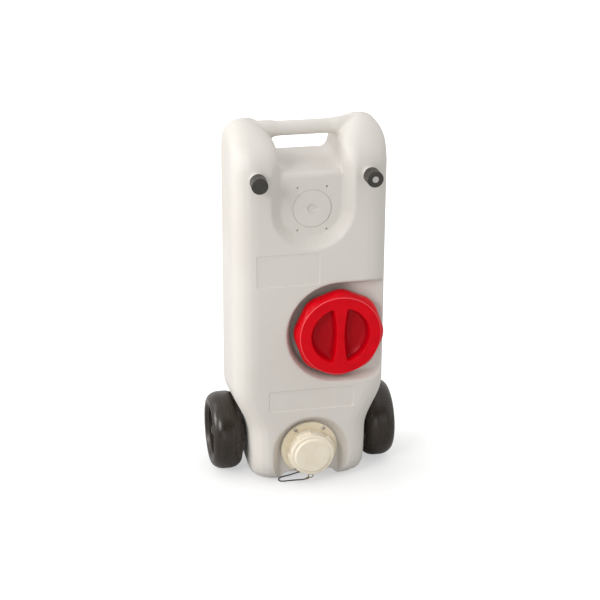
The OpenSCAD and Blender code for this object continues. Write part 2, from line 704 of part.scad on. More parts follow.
module drain_cap() color("#ded4be") {
    on_front(0, drain_z) translate([0, 0, drain_cap_proud]) difference() {
        union() {
            rotate_extrude() polygon(drain_cap_profile());
            for (a = lug_turns) translate([0, 0, -drain_cap_h]) linear_extrude(ear_h)
                sector(ear_r, a - bayonet_turn - lug_angle, a + lug_angle);
        }
        translate([0, 0, -drain_cap_h - cut])
            cylinder(r = spigot_r + move_gap, h = drain_cap_h + cut - drain_step - drain_cap_top);
        translate([0, 0, -drain_cap_h - cut]) cylinder(r = drain_face_r, h = drain_cap_h + cut - drain_cap_top);
        for (a = lug_turns) translate([0, 0, -drain_cap_h - cut])
            linear_extrude(lug_z - skirt_edge + lug_h + move_gap + cut)
                sector(lug_r + move_gap, a - bayonet_turn - 0.75 * lug_angle, a + 0.75 * lug_angle);
    }
    eye_drop = drain_z - drain_cap_r - cap_eye[2] + 1;
    eye(cap_eye, [[-eye_drop, -eye_half], [eye_drop, 2 * eye_half]], ring_wire + 4 * seat_gap);
}

module drain_seal() color("#26241f") on_front(0, drain_z) translate([0, 0, drain_seal_z])
    ring_solid(spigot_bore_r + drain_seal_in, spigot_r - seal_gap, drain_seal_t);

// Sweeps a round tube along a route: one ring of points square to the way at each point
module tube(route, d) {
    n = len(route);
    way = [for (i = [0:n - 1]) route[min(i + 1, n - 1)] - route[max(i - 1, 0)]];
    side = [for (w = way) let (c = cross(w, [0, 0, 1])) c / norm(c)];
    lift = [for (i = [0:n - 1]) let (c = cross(side[i], way[i])) c / norm(c)];
    polyhedron(
        points = [for (i = [0:n - 1], k = [0:cord_sides - 1]) let (a = 360 * k / cord_sides)
            route[i] + d / 2 * (cos(a) * side[i] + sin(a) * lift[i])],
        faces = concat([[for (k = [0:cord_sides - 1]) cord_sides - 1 - k]],
            [[for (k = [0:cord_sides - 1]) (n - 1) * cord_sides + k]],
            [for (i = [0:n - 2], k = [0:cord_sides - 1])
                let (a = i * cord_sides + k, b = i * cord_sides + (k + 1) % cord_sides)
                each [[a, b, b + cord_sides], [a, b + cord_sides, a + cord_sides]]]));
}

// A straight rod between two points
module rod(from, to, d) translate(from) {
    way = to - from;
    rotate([0, acos(way[2] / norm(way)), atan2(way[1], way[0])]) cylinder(d = d, h = norm(way), $fn = 32);
}

module tether_cord() color("#1b1a19") translate([0, y_front, 0]) tube(cord_route, cord_d);

module tether_stop() color("#1b1a19") translate([flange_eye[0] + eye_t / 2 + seat_gap, y_front + flange_eye[1],
    flange_eye[2]]) rotate([0, 90, 0]) cylinder(d = crimp_d, h = 2 * crimp_d, $fn = 32);

module tether_sleeve() color("#b08d3e") translate([0, y_front, 0])
    rod(cord_end, sleeve_end, crimp_d);

module tether_ring() color("#c29a45") translate([cap_eye[0], y_front + cap_eye[1], cap_eye[2] - ring_r])
    rotate([90, 0, 0]) rotate_extrude() translate([ring_r, 0]) circle(d = ring_wire, $fn = 24);

module axle() color("#9a9a98") translate([-axle_half, y_front + axle_y, wheel_r]) rotate([0, 90, 0])
    cylinder(d = axle_d, h = 2 * axle_half);

// A moulded wheel: round shoulders, a dished outer side, a shallower inner dish and a hub
module wheel(side) color("#2a2420") on_axle(side) rotate_extrude() polygon(concat(
    [[axle_d / 2 + axle_play, wheel_in], [hub_r, wheel_in], [hub_r, wheel_in + wheel_back_d],
        [wheel_dish_r, wheel_in + wheel_back_d], [wheel_lip_r, wheel_in]],
    [for (a = [-90:15:0]) [wheel_r - wheel_round * (1 - cos(a)), wheel_in + wheel_crown * (1 + sin(a))]],
    [for (a = [0:15:90]) [wheel_r - wheel_round * (1 - cos(a)), wheel_out - wheel_crown * (1 - sin(a))]],
    [[wheel_lip_r, wheel_out], [wheel_dish_r, wheel_out - wheel_dish_d], [hub_r, wheel_out - wheel_dish_d],
        [hub_r, hub_end], [axle_d / 2 + axle_play, hub_end]]));

module left_wheel() wheel(-1);

module right_wheel() wheel(1);

module washer(side) color("#8d8c89") on_axle(side) translate([0, 0, boss_end])
    ring_solid(axle_d / 2 + seat_gap, washer_r, washer_t);

module left_washer() washer(-1);

module right_washer() washer(1);

// A push-on cap: a rounded cup over the axle's end
module axle_cap(side) color("#1d1b1a") on_axle(side) translate([0, 0, hub_end + seal_gap]) difference() {
    rotate_extrude() polygon(concat([[0, 0], [axle_cap_r, 0]],
        [for (a = [0:18:90])
            [axle_cap_r - axle_cap_round * (1 - cos(a)), axle_cap_l - axle_cap_round * (1 - sin(a))]],
        [[0, axle_cap_l]]));
    translate([0, 0, -cut]) cylinder(d = axle_d + 2 * seat_gap, h = axle_end_l - seal_gap + seat_gap + cut);
}

module left_axle_cap() axle_cap(-1);

module right_axle_cap() axle_cap(1);

// A fluted screw cap for a vent, with or without a seat for the pale plug in its face
module vent_cap(side, seat_depth) color("#3a363a") on_vent(side) difference() {
    intersection() {
        translate([0, 0, vent_base]) linear_extrude(vent_cap_l) difference() {
            circle(r = vent_cap_r);
            for (k = [0:vent_flutes - 1]) rotate(360 * k / vent_flutes)
                translate([vent_cap_r + vent_flute_r / 2, 0]) circle(r = vent_flute_r, $fn = 16);
        }
        rotate_extrude() polygon([[0, vent_base], [vent_cap_r + eps, vent_base],
            [vent_cap_r + eps, vent_face - vent_chamfer], [vent_cap_r - vent_chamfer, vent_face],
            [0, vent_face]]);
    }
    translate([0, 0, vent_base - cut]) cylinder(r = vent_neck_r + move_gap, h = vent_floor - vent_base + cut);
    if (seat_depth > 0) translate([0, 0, vent_face - seat_depth])
        cylinder(r = insert_r + seat_gap, h = seat_depth + cut);
}

module left_vent_cap() vent_cap(-1, 0);

module right_vent_cap() vent_cap(1, insert_depth);

module vent_seal(side) color("#26241f") on_vent(side) translate([0, 0, vent_top + seal_gap])
    ring_solid(vent_bore_r + seal_gap, vent_neck_r, vent_seal_t);

module left_vent_seal() vent_seal(-1);

module right_vent_seal() vent_seal(1);

module vent_insert() color("#b9b6b2") on_vent(1) translate([0, 0, vent_face - insert_depth])
    cylinder(r = insert_r, h = insert_depth - insert_sunk);

tank_shell();
inlet_cap();
inlet_seal();
drain_gasket();
drain_flange();
drain_screws();
drain_cap();
drain_seal();
tether_cord();
tether_stop();
tether_sleeve();
tether_ring();
axle();
left_wheel();
right_wheel();
left_washer();
right_washer();
left_axle_cap();
right_axle_cap();
left_vent_cap();
right_vent_cap();
left_vent_seal();
right_vent_seal();
vent_insert();
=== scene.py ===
"""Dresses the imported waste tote: moulded tank, wheels, screw cap, bayonet drain, vents and tether."""

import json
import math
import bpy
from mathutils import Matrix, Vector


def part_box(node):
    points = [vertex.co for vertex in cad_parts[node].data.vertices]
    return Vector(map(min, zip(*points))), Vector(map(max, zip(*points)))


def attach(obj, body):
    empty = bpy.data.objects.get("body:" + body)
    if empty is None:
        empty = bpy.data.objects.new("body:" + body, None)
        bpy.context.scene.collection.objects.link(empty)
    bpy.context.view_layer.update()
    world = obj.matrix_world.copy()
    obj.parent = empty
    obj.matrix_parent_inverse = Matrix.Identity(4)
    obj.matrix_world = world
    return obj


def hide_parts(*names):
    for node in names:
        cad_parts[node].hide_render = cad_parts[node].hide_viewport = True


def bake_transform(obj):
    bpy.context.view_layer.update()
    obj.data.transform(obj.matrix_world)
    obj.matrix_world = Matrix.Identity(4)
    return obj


bl_info = {
    "name": "Portable waste tote",
    "version": (1, 0, 0),
    "blender": (4, 5, 0),
    "location": "3D View > Sidebar > Tote",
    "description": "Moulded tank, screw cap, bayonet drain, wheels, vents and tether of a waste tote",
    "category": "Object",
}

import bmesh
import bpy
import numpy as np
from mathutils import Matrix, Vector

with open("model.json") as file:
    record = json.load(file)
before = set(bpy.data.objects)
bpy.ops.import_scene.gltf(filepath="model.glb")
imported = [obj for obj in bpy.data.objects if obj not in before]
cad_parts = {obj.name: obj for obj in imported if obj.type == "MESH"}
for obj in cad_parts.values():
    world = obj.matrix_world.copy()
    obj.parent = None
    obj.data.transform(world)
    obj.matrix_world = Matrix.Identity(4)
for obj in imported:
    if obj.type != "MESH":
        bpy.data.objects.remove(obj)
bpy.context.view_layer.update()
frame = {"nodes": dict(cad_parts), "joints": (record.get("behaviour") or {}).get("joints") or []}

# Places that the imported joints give: the inlet, the drain, the vents and the axle
JOINTS = {joint["name"]: joint for joint in frame["joints"]}
MIRROR = {"left": -1, "right": 1}
INLET = Vector(JOINTS["inlet_turn"]["pos_m"])
DRAIN = Vector(JOINTS["drain_turn"]["pos_m"])
AXLE = Vector(JOINTS["right_wheel_spin"]["pos_m"])
VENTS = {side: Vector(JOINTS[side + "_vent_turn"]["pos_m"]) for side in MIRROR}
VENT_WAYS = {side: Vector(JOINTS[side + "_vent_turn"]["axis"]).normalized() for side in MIRROR}
Y_FRONT = DRAIN.y
CORNERS = ((-1, -1), (-1, 1), (1, -1), (1, 1))
WHITE = (1.0, 1.0, 1.0, 1.0)
ARC_STEPS = 6
MERGE = 2e-6
# In metres: play between a cap's skirt and its neck, play round a seal, and how far cutters stand out
SLIDE = 0.0006
FIT = 0.0003
CUT_OUT = 0.004
# How far the necks of the inlet and the vents may be softened, of 1
NECK_SOFTNESS = 0.06

# The tether's route from the flange's eye to its sleeve, in metres from the tank's front face
TETHER_ROUTE = [
    (-0.0175, 0.0155, 0.025), (-0.022, 0.0156, 0.0248), (-0.026, 0.0168, 0.0234), (-0.0298, 0.0196, 0.0206),
    (-0.0334, 0.0246, 0.0168), (-0.037, 0.0306, 0.0122), (-0.0408, 0.0364, 0.0078), (-0.045, 0.041, 0.0044),
    (-0.0498, 0.0434, 0.0022), (-0.0548, 0.0432, 0.0015), (-0.0592, 0.0404, 0.0014), (-0.0622, 0.036, 0.0014),
    (-0.0629, 0.031, 0.0014), (-0.061, 0.0269, 0.0014), (-0.057, 0.0247, 0.0014), (-0.051, 0.0242, 0.0014),
    (-0.044, 0.0244, 0.0014), (-0.037, 0.0242, 0.0016), (-0.030, 0.0224, 0.0026), (-0.0236, 0.0188, 0.0044),
    (-0.0178, 0.014, 0.0068), (-0.0127, 0.0093, 0.0097), (-0.0089, 0.0065, 0.0125),
]
TETHER_TURN = 12
# The point after the turn at which the cord leaves the floor: only what follows turns with the drain cap
TETHER_LIFT = 6


def srgb(text):
    """An sRGB hex colour as linear red, green, blue and alpha."""
    values = [int(text[i:i + 2], 16) / 255 for i in (1, 3, 5)]
    return tuple(v / 12.92 if v <= 0.04045 else ((v + 0.055) / 1.055) ** 2.4 for v in values) + (1.0,)


def length(name, default, text, least=0.0):
    """A length in metres that a user may change."""
    return bpy.props.FloatProperty(name=name, description=text, default=default, min=least, precision=5,
                                   unit="LENGTH", subtype="DISTANCE")


def count(name, default, text):
    """A whole number that a user may change."""
    return bpy.props.IntProperty(name=name, description=text, default=default, min=1)


def angle(name, default, text):
    """An angle in degrees that a user may change, held in radians."""
    return bpy.props.FloatProperty(name=name, description=text, default=math.radians(default),
                                   unit="ROTATION", subtype="ANGLE")


def tint(name, default, text):
    """A colour that a user may change, given as sRGB hex."""
    return bpy.props.FloatVectorProperty(name=name, description=text, default=srgb(default), size=4,
                                         min=0.0, max=1.0, subtype="COLOR")


def half_height(node):
    """Half of a node's height, which is the radius of a round one."""
    low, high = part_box(node)
    return (high[2] - low[2]) / 2


def out_of_front(node):
    """A node's inner and outer end, measured outwards from the tank's front face."""
    low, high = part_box(node)
    return Y_FRONT - high[1], Y_FRONT - low[1]


class ToteStage(bpy.types.PropertyGroup):
    """Camera, light and floor"""
    turn: angle("Camera turn", -11.8, "Turn of the camera round the tote, from straight in front")
    rise: angle("Camera rise", 22.8, "Height of the camera above the floor, as an angle")
    distance: length("Camera distance", 3.6292, "Distance from the camera to its aim")
    aim_depth: length("Aim depth", 0.1012, "How far behind the tank's front face the camera aims")
    aim_height: length("Aim height", 0.3795, "Height of the camera's aim above the floor")
    lens: bpy.props.FloatProperty(name="Lens", description="Focal length in millimetres", default=105.2,
                                  unit="CAMERA")
    shift: bpy.props.FloatProperty(name="Shift", description="Sideways shift of the frame", default=-0.0038)
    roll: angle("Camera roll", 0.35, "Turn of the camera about its own axis")
    floor: tint("Floor", "#BABAB9", "Colour of the floor")


class ToteTank(bpy.types.PropertyGroup):
    """Moulded tank"""
    colour: tint("Tank", "#DAD5CE", "Colour of the tank's polyethylene")
    shade: tint("Tank shade", "#D5CFC8", "Slightly darker patches in the polyethylene")
    # Painted shade: the colour painted into the gap behind the cap's skirt
    grime: tint("Pocket grime", "#6E625A", "Shade behind the cap's skirt")
    skin: length("Skin spacing", 0.0021, "Spacing of the even skin on which the mould's edges are softened")
    softening: count("Softening", 30, "Passes that soften the mould's edges")
    faces: count("Faces", 170000, "Triangles kept on the tank's skin")
    mark_depth: length("Mark depth", 0.0012, "Depth of the packed plates and of the packed disc")
    plate_depth: length("Plate depth", 0.0016, "Depth of the plates, and height of the disc")
    pilot_x: length("Pilot side", 0.0295, "Sideways place of the pilot holes about the disc")
    pilot_z: length("Pilot up", 0.0445, "Place of the pilot holes above and below the disc's middle")
    plate_width: length("Plate width", 0.127, "Width of the upper bare plate")
    plate_height: length("Plate height", 0.066, "Height of the upper bare plate")
    plate_x: length("Plate side", -0.0495, "Sideways place of the upper plate", -1.0)
    plate_z: length("Plate up", 0.488, "Height of the upper plate's middle")
    low_plate_width: length("Low plate width", 0.176, "Width of the lower bare plate")
    low_plate_height: length("Low plate height", 0.044, "Height of the lower bare plate")
    low_plate_z: length("Low plate up", 0.200, "Height of the lower plate's middle")
    disc_radius: length("Disc radius", 0.0385, "Radius of the raised disc in the upper recess")
    disc_x: length("Disc side", 0.0022, "Sideways place of the disc's middle")
    disc_z: length("Disc up", 0.6088, "Height of the disc's middle")
    dimple_radius: length("Dimple radius", 0.0095, "Radius of the dimple in the disc's middle")
    recess_z: length("Recess up", 0.6125, "Height of the middle of the upper recess")
    recess_depth: length("Recess depth", 0.022, "Depth of the upper recess")
    neck_radius: length("Neck radius", 0.076, "Outer radius of the inlet's neck")
    neck_bore: length("Neck bore", 0.069, "Radius of the inlet's mouth")
    drain_hole: length("Drain hole", 0.03931, "Radius of the hole behind the drain's flange")
    vent_bore: length("Vent bore", 0.007, "Radius of a vent's hole")
    pocket_depth: length("Pocket depth", 0.026, "Depth of the round pocket about the inlet")
    blind_depth: length("Blind depth", 0.04, "Depth of the blind holes that the bores end in")
    marks_reach: length("Marks reach", 0.06, "Reach of the marks about the middle of the upper recess")


class ToteCap(bpy.types.PropertyGroup):
    """Screw cap of the inlet"""
    colour: tint("Cap", "#DC0016", "Colour of the cap's polypropylene")
    shade: tint("Cap shade", "#D20014", "Slightly deeper streaks in the polypropylene")
    # A painted highlight: the pale line of light painted round the cap's rounded rim
    edge: tint("Cap edge", "#F0646C", "Pale line round the cap's face")
    # Painted shade: the colour painted into the cap's wells
    grime: tint("Cap grime", "#7A0A14", "Shade in the cap's wells")
    face_radius: length("Face radius", 0.084, "Radius of the flat face")
    skirt_radius: length("Skirt flats", 0.0893, "Radius of the skirt between two lobes")
    lobe_round: length("Lobe rounding", 0.045, "Radius of the lobes' tips")
    lobe_turn: angle("Lobe turn", 2.5, "Turn of the lobes against the grip")
    shoulder: length("Shoulder", 0.018, "Height over which the skirt spreads from the face to the lobes")
    well_radius: length("Well radius", 0.062, "Radius of the two half-round wells")
    well_depth: length("Well depth", 0.021, "Depth of the wells")
    well_wall: length("Well wall", 0.0025, "Wall under the wells")
    grip_end: length("Grip end", 0.027, "Width of the grip at its ends")
    grip_waist: length("Grip waist", 0.013, "Width of the grip in its middle")
    lip: length("Lip", 0.0014, "Rounding of the wells' edges")
    bowl: length("Bowl", 0.013, "Rounding between a well's wall and its floor")
    top: length("Top", 0.004, "Thickness of the face")


class ToteDrain(bpy.types.PropertyGroup):
    """Drain flange and its bayonet cap"""
    cap_colour: tint("Drain cap", "#F0E6D2", "Colour of the drain cap")
    cap_shade: tint("Drain cap shade", "#EADFC9", "Slightly deeper streaks in the drain cap")
    flange_colour: tint("Flange", "#F4E9D0", "Colour of the flange")
    flange_shade: tint("Flange shade", "#EEE2C6", "Slightly deeper streaks in the flange")
    spigot_radius: length("Spigot radius", 0.0405, "Outer radius of the spigot")
    bore_radius: length("Bore radius", 0.036, "Radius of the drain's bore")
    lug_radius: length("Lug radius", 0.0435, "Reach of the bayonet's lugs")
    cap_radius: length("Cap radius", 0.0455, "Radius of the cap's skirt")
    face_radius: length("Raised face", 0.034, "Radius of the raised middle of the cap")
    step: length("Face step", 0.004, "Height of the raised middle")
    rim: length("Rim rounding", 0.005, "Rounding of the cap's rim")
    ear_radius: length("Ear radius", 0.0495, "Reach of the cap's ears")
    ear_height: length("Ear height", 0.013, "Height of the cap's ears")
    ear_span: angle("Ear span", 43.0, "Turn that one ear takes up")
    lug_turn: angle("Lug turn", 34.0, "Turn of the first lug")
    lug_span: angle("Lug span", 9.0, "Turn that one lug takes up")
    screw_radius: length("Screw circle", 0.0534, "Radius of the circle that the screws sit on")
    screw_turn: angle("Screw turn", 56.5, "Turn of the first screw")
    screw_head: length("Screw head", 0.0086, "Width of a screw's head")
    screw_rise: length("Screw rise", 0.0028, "Height of a screw's head")
    screw_shank: length("Screw shank", 0.0039, "Width of a screw's shank")
    flange_thick: length("Flange thickness", 0.006, "Thickness of the flange")
    lug_height: length("Lug height", 0.003, "Thickness of the lugs")
    eye_radius: length("Eye radius", 0.0034, "Radius of the tether eyes' round ends")
    eye_thick: length("Eye thickness", 0.003, "Thickness of the tether eyes")


class ToteWheels(bpy.types.PropertyGroup):
    """Wheels, axle, washers and push-on caps"""
    colour: tint("Wheel", "#241B13", "Colour of the wheels")
    streak: tint("Wheel streak", "#2F251B", "Paler rings that moulding leaves round the wheels")
    round_height: length("Shoulder height", 0.019, "Height of the round shoulders")
    round_width: length("Shoulder width", 0.026, "Width of the round shoulders")
    lip_radius: length("Lip radius", 0.0625, "Radius of the lip round the dish")
    rim_radius: length("Rim radius", 0.0562, "Inner radius of the outer rim, where it rolls into the dish")
    dish_radius: length("Dish radius", 0.054, "Radius of the dish's floor on the inner side")
    dish_depth: length("Dish depth", 0.033, "Depth of the outer dish")
    back_depth: length("Back depth", 0.024, "Depth of the dish on the inner side")
    hub_radius: length("Hub radius", 0.017, "Radius of the hub")
    hub_sunk: length("Hub sunk", 0.016, "How far the hub stays behind the wheel's face")
    axle_radius: length("Axle radius", 0.006, "Radius of the axle")


class ToteVents(bpy.types.PropertyGroup):
    """Vent caps on the two horns"""
    colour: tint("Vent cap", "#3A3631", "Colour of the vent caps")
    shade: tint("Vent cap shade", "#322E29", "Slightly darker patches on the vent caps")
    insert: tint("Insert", "#B9B6B2", "Colour of the pale plug in the right cap")
    radius: length("Cap radius", 0.0165, "Radius of a vent cap")
    base: length("Cap base", 0.014, "Start of a cap, measured along its axis from the horn")
    face: length("Cap face", 0.043, "End of a cap, measured along its axis from the horn")
    flutes: count("Flutes", 30, "Flutes round a vent cap")
    flute_depth: length("Flute depth", 0.0012, "Depth of the flutes")
    neck_radius: length("Neck radius", 0.011, "Outer radius of a vent's neck")
    insert_radius: length("Insert radius", 0.0065, "Radius of the pale plug")
    neck_length: length("Neck length", 0.016, "Length of a neck inside its cap")
    seal_thick: length("Seal thickness", 0.0015, "Thickness of a vent's seal")


class ToteTether(bpy.types.PropertyGroup):
    """Tether of the drain cap"""
    cord: tint("Cord", "#1B1A19", "Colour of the braided cord")
    fleck: tint("Cord fleck", "#33312E", "Paler strands of the braid")
    brass: tint("Brass", "#8A6A30", "Colour of the ring and the sleeve")
    diameter: length("Cord diameter", 0.0028, "Thickness of the cord")
    crimp: length("Crimp diameter", 0.0044, "Thickness of the stop and of the sleeve")
    sleeve: length("Sleeve length", 0.0062, "Length of the brass sleeve")
    wire: length("Ring wire", 0.0018, "Thickness of the ring's wire")
    ring_radius: length("Ring radius", 0.005, "Radius of the ring's wire circle")


def add(tree, kind, inputs=None, **settings):
    """Adds one shader node, sets it, and fills its inputs with values or with other nodes' outputs."""
    node = tree.nodes.new("ShaderNode" + kind)
    for key, value in settings.items():
        setattr(node, key, value)
    for key, value in (inputs or {}).items():
        if isinstance(value, bpy.types.NodeSocket):
            tree.links.new(value, node.inputs[key])
        else:
            node.inputs[key].default_value = value
    return node


def calc(tree, operation, *values):
    """The result of one step of arithmetic."""
    return add(tree, "Math", dict(enumerate(values)), operation=operation).outputs[0]


def ramp(tree, value, start, stop, low=0.0, high=1.0, kind="LINEAR"):
    """A value carried from one range to another, in a straight or a smooth change."""
    return add(tree, "MapRange", {"Value": value, "From Min": start, "From Max": stop, "To Min": low,
                                  "To Max": high}, interpolation_type=kind).outputs["Result"]


def mixed(tree, part, low, high):
    """A colour between two others."""
    return add(tree, "Mix", {0: part, 6: low, 7: high}, data_type="RGBA").outputs[2]


def noise(tree, place, size, detail):
    """Soft noise with patches of one real size."""
    return add(tree, "TexNoise", {"Vector": place, "Scale": 1 / size, "Detail": detail}).outputs["Fac"]


def bump(tree, height, distance, strength, normal=None):
    """A bent normal from a height, on top of another bent normal if one is given."""
    inputs = {"Height": height, "Distance": distance, "Strength": strength}
    if normal is not None:
        inputs["Normal"] = normal
    return add(tree, "Bump", inputs).outputs["Normal"]


def axes(tree, place):
    """The three parts of a place, by their names."""
    return add(tree, "SeparateXYZ", {"Vector": place}).outputs


def from_inlet(tree, place):
    """The distance of a place from the inlet's axis."""
    off = add(tree, "VectorMath", {0: place, 1: INLET}, operation="SUBTRACT")
    flat = add(tree, "VectorMath", {0: off.outputs[0], 1: (1.0, 0.0, 1.0)}, operation="MULTIPLY")
    return add(tree, "VectorMath", {0: flat.outputs[0]}, operation="LENGTH").outputs["Value"]


def fine_line(tree, value, middle, peak):
    """A soft line, about 1 mm wide, where a value passes its middle."""
    near = calc(tree, "ABSOLUTE", calc(tree, "SUBTRACT", value, middle))
    return ramp(tree, near, 0.0003, 0.0009, peak, 0.0, "SMOOTHSTEP")


def finish_of(name, roughness, **sockets):
    """A new material with its shader's constant sockets set, and the coordinates that its patterns read."""
    material = bpy.data.materials.new(name)
    material.use_nodes = True
    tree = material.node_tree
    shader = tree.nodes["Principled BSDF"]
    shader.inputs["Roughness"].default_value = roughness
    for key, value in sockets.items():
        shader.inputs[key.replace("_", " ")].default_value = value
    return material, tree, shader, add(tree, "TexCoord").outputs["Object"]


def painted(tree, shader, colour):
    """Makes a socket the shader's colour, and gives it back."""
    tree.links.new(colour, shader.inputs["Base Color"])
    return colour


def cloud(tree, shader, place, size, low, high, detail=3.0):
    """Lets the colour drift between two tints in soft patches of one real size."""
    drift = ramp(tree, noise(tree, place, size, detail), 0.35, 0.65)
    return painted(tree, shader, mixed(tree, drift, low, high))


def grain(tree, shader, place, size, height, rough_low, rough_high, normal=None):
    """Gives the surface a fine grain of one real size, in its roughness and its bump."""
    grit = noise(tree, place, size, 2.0)
    tree.links.new(ramp(tree, grit, 0.3, 0.7, rough_low, rough_high), shader.inputs["Roughness"])
    tree.links.new(bump(tree, grit, height, 1.0, normal), shader.inputs["Normal"])


def blow_moulded_polyethylene():
    """Blow-moulded HDPE: satin, finely grained, with a faint parting line, drifts of tone and painted shade
    in the pocket behind the cap's skirt.
    """
    sizes = bpy.context.scene.tote_tank
    material, tree, shader, place = finish_of("blow_moulded_polyethylene", 0.45, IOR=1.53)
    clean = cloud(tree, shader, place, 0.22, sizes.shade, sizes.colour)
    at = axes(tree, place)
    # Painted shade in the narrow gap behind the cap's skirt, on the pocket's closed side
    shade_mask = ramp(tree, from_inlet(tree, place), 0.098, 0.108, 1.0, 0.0)
    deep = ramp(tree, at["Y"], Y_FRONT + 0.004, Y_FRONT + 0.016, kind="SMOOTHSTEP")
    ends = calc(tree, "LESS_THAN", at["Y"], Y_FRONT + 0.07)
    shut = ramp(tree, at["X"], INLET.x, INLET.x + 0.05, 0.6, 0.1, "SMOOTHSTEP")
    for part in (deep, ends, shut):
        shade_mask = calc(tree, "MULTIPLY", shade_mask, part)
    painted(tree, shader, mixed(tree, shade_mask, clean, sizes.grime))
    # The mould's parting line runs round the tank's sides
    seam = bump(tree, fine_line(tree, at["Y"], Y_FRONT + 0.1015, 1.0), 0.0003, 0.8)
    # The mould's grit is about 0.3 mm; it is drawn at 1.4 mm so that it shows
    grain(tree, shader, place, 0.0014, 0.00005, 0.40, 0.52, seam)
    return material


def injected_polypropylene(name, colour, shade, roughness, shine=0.5):
    """Injection-moulded polypropylene: a smooth, slightly waxy gloss with faint flow streaks."""
    material, tree, shader, place = finish_of(name, roughness, IOR=1.49, Specular_IOR_Level=shine)
    cloud(tree, shader, place, 0.022, shade, colour, 2.0)
    # Flow ripples of about 9 mm that bend the highlights a little
    wave = bump(tree, noise(tree, place, 0.009, 1.0), 0.00006, 0.6)
    grain(tree, shader, place, 0.0011, 0.000012, roughness - 0.04, roughness + 0.06, wave)
    return material


def red_polypropylene():
    """The cap's red polypropylene: a painted highlight where its face meets the skirt, painted shade in its
    wells.
    """
    sizes = bpy.context.scene.tote_cap
    material = injected_polypropylene("red_polypropylene", sizes.colour, sizes.shade, 0.25, 0.13)
    tree = material.node_tree
    shader = tree.nodes["Principled BSDF"]
    body = shader.inputs["Base Color"].links[0].from_socket
    place = add(tree, "TexCoord").outputs["Object"]
    away = from_inlet(tree, place)
    # A painted highlight: a thin pale line of light painted round the rim of the face
    body = mixed(tree, fine_line(tree, away, sizes.face_radius - 0.0004, 0.75), body, sizes.edge)
    # Painted shade in the wells, darker the deeper they are
    half_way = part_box("inlet_cap")[0][1] + sizes.well_depth / 2
    deep = ramp(tree, axes(tree, place)["Y"], half_way - 0.003, half_way + 0.004, 0.0, 0.5, "SMOOTHSTEP")
    shade_mask = calc(tree, "MULTIPLY", deep, calc(tree, "LESS_THAN", away, sizes.well_radius + 0.001))
    painted(tree, shader, mixed(tree, shade_mask, body, sizes.grime))
    return material


def moulded_wheel_polyethylene():
    """Moulded black polyethylene: glossy near-black brown with fine rings round the tread."""
    sizes = bpy.context.scene.tote_wheels
    material, tree, shader, place = finish_of("moulded_wheel_polyethylene", 0.25, IOR=1.52)
    # Rings about 2.5 mm apart along the axle, long round the wheel
    rings = add(tree, "Mapping", {"Vector": place, "Scale": (1 / 0.0025, 6.0, 6.0)}).outputs["Vector"]
    streaks = noise(tree, rings, 1.0, 3.0)
    painted(tree, shader, mixed(tree, ramp(tree, streaks, 0.38, 0.68), sizes.colour, sizes.streak))
    grain(tree, shader, place, 0.0012, 0.00002, 0.20, 0.32, bump(tree, streaks, 0.00006, 0.6))
    return material


def plain_finish(name, roughness, patch, low, high, grit, height, rough_low, rough_high, **sockets):
    """A material that has only soft patches of tone and a fine grain."""
    material, tree, shader, place = finish_of(name, roughness, **sockets)
    cloud(tree, shader, place, patch, low, high)
    grain(tree, shader, place, grit, height, rough_low, rough_high)
    return material


def zinc_plated_steel():
    """Zinc-plated steel: a grey metal with a soft shine and fine turning marks."""
    return plain_finish("zinc_plated_steel", 0.32, 0.004, srgb("#C9C8C3"), srgb("#E2E1DC"), 0.0005, 0.00001,
                        0.28, 0.42, Metallic=1.0)


def drawn_brass():
    """Drawn brass wire: a warm metal, a little dulled by handling."""
    return plain_finish("drawn_brass", 0.28, 0.003, srgb("#745722"), bpy.context.scene.tote_tether.brass,
                        0.0006, 0.00001, 0.24, 0.40, Metallic=1.0)


def moulded_rubber():
    """Moulded black rubber: dull, with a powdery bloom."""
    return plain_finish("moulded_rubber", 0.7, 0.006, srgb("#211F1B"), srgb("#302D28"), 0.0008, 0.00003,
                        0.62, 0.78, IOR=1.52)


def braided_polyester():
    """Braided polyester cord: dull black strands that cross in small diamonds along the cord."""
    sizes = bpy.context.scene.tote_tether
    material, tree, shader, _ = finish_of("braided_polyester", 0.75, IOR=1.55, Sheen_Weight=0.25)
    at = axes(tree, add(tree, "UVMap", uv_map="UVMap").outputs["UV"])
    # Eight strands round the cord and a crossing every 1.6 mm along it; V runs in metres
    turns = calc(tree, "MULTIPLY", at["X"], 4 * math.tau)
    along = calc(tree, "MULTIPLY", at["Y"], math.tau / 0.0032)
    strands = [calc(tree, "SINE", calc(tree, way, turns, along)) for way in ("ADD", "SUBTRACT")]
    height = ramp(tree, calc(tree, "MULTIPLY", *strands), -1.0, 1.0)
    painted(tree, shader, mixed(tree, height, sizes.cord, sizes.fleck))
    tree.links.new(bump(tree, height, 0.0002, 1.0), shader.inputs["Normal"])
    return material


def shared(maker, *values):
    """A material made once for all its pieces, named for its maker or by the first value."""
    name = values[0] if values else maker.__name__
    return bpy.data.materials.get(name) or maker(*values)


def rounded(corners, closed=False):
    """Points of an outline whose corners, given as radius, height and rounding, are drawn as arcs."""
    points = []
    for i, (radius, height, size) in enumerate(corners):
        at = Vector((radius, height))
        if size <= 0 or (not closed and i in (0, len(corners) - 1)):
            points.append(at)
            continue
        before = Vector(corners[i - 1][:2]) - at
        after = Vector(corners[(i + 1) % len(corners)][:2]) - at
        reach = min(size / math.tan(before.angle(after) / 2), 0.49 * before.length, 0.49 * after.length)
        start = at + reach * before.normalized()
        end = at + reach * after.normalized()
        for k in range(ARC_STEPS + 1):
            t = k / ARC_STEPS
            points.append(start.lerp(at, t).lerp(at.lerp(end, t), t))
    return points


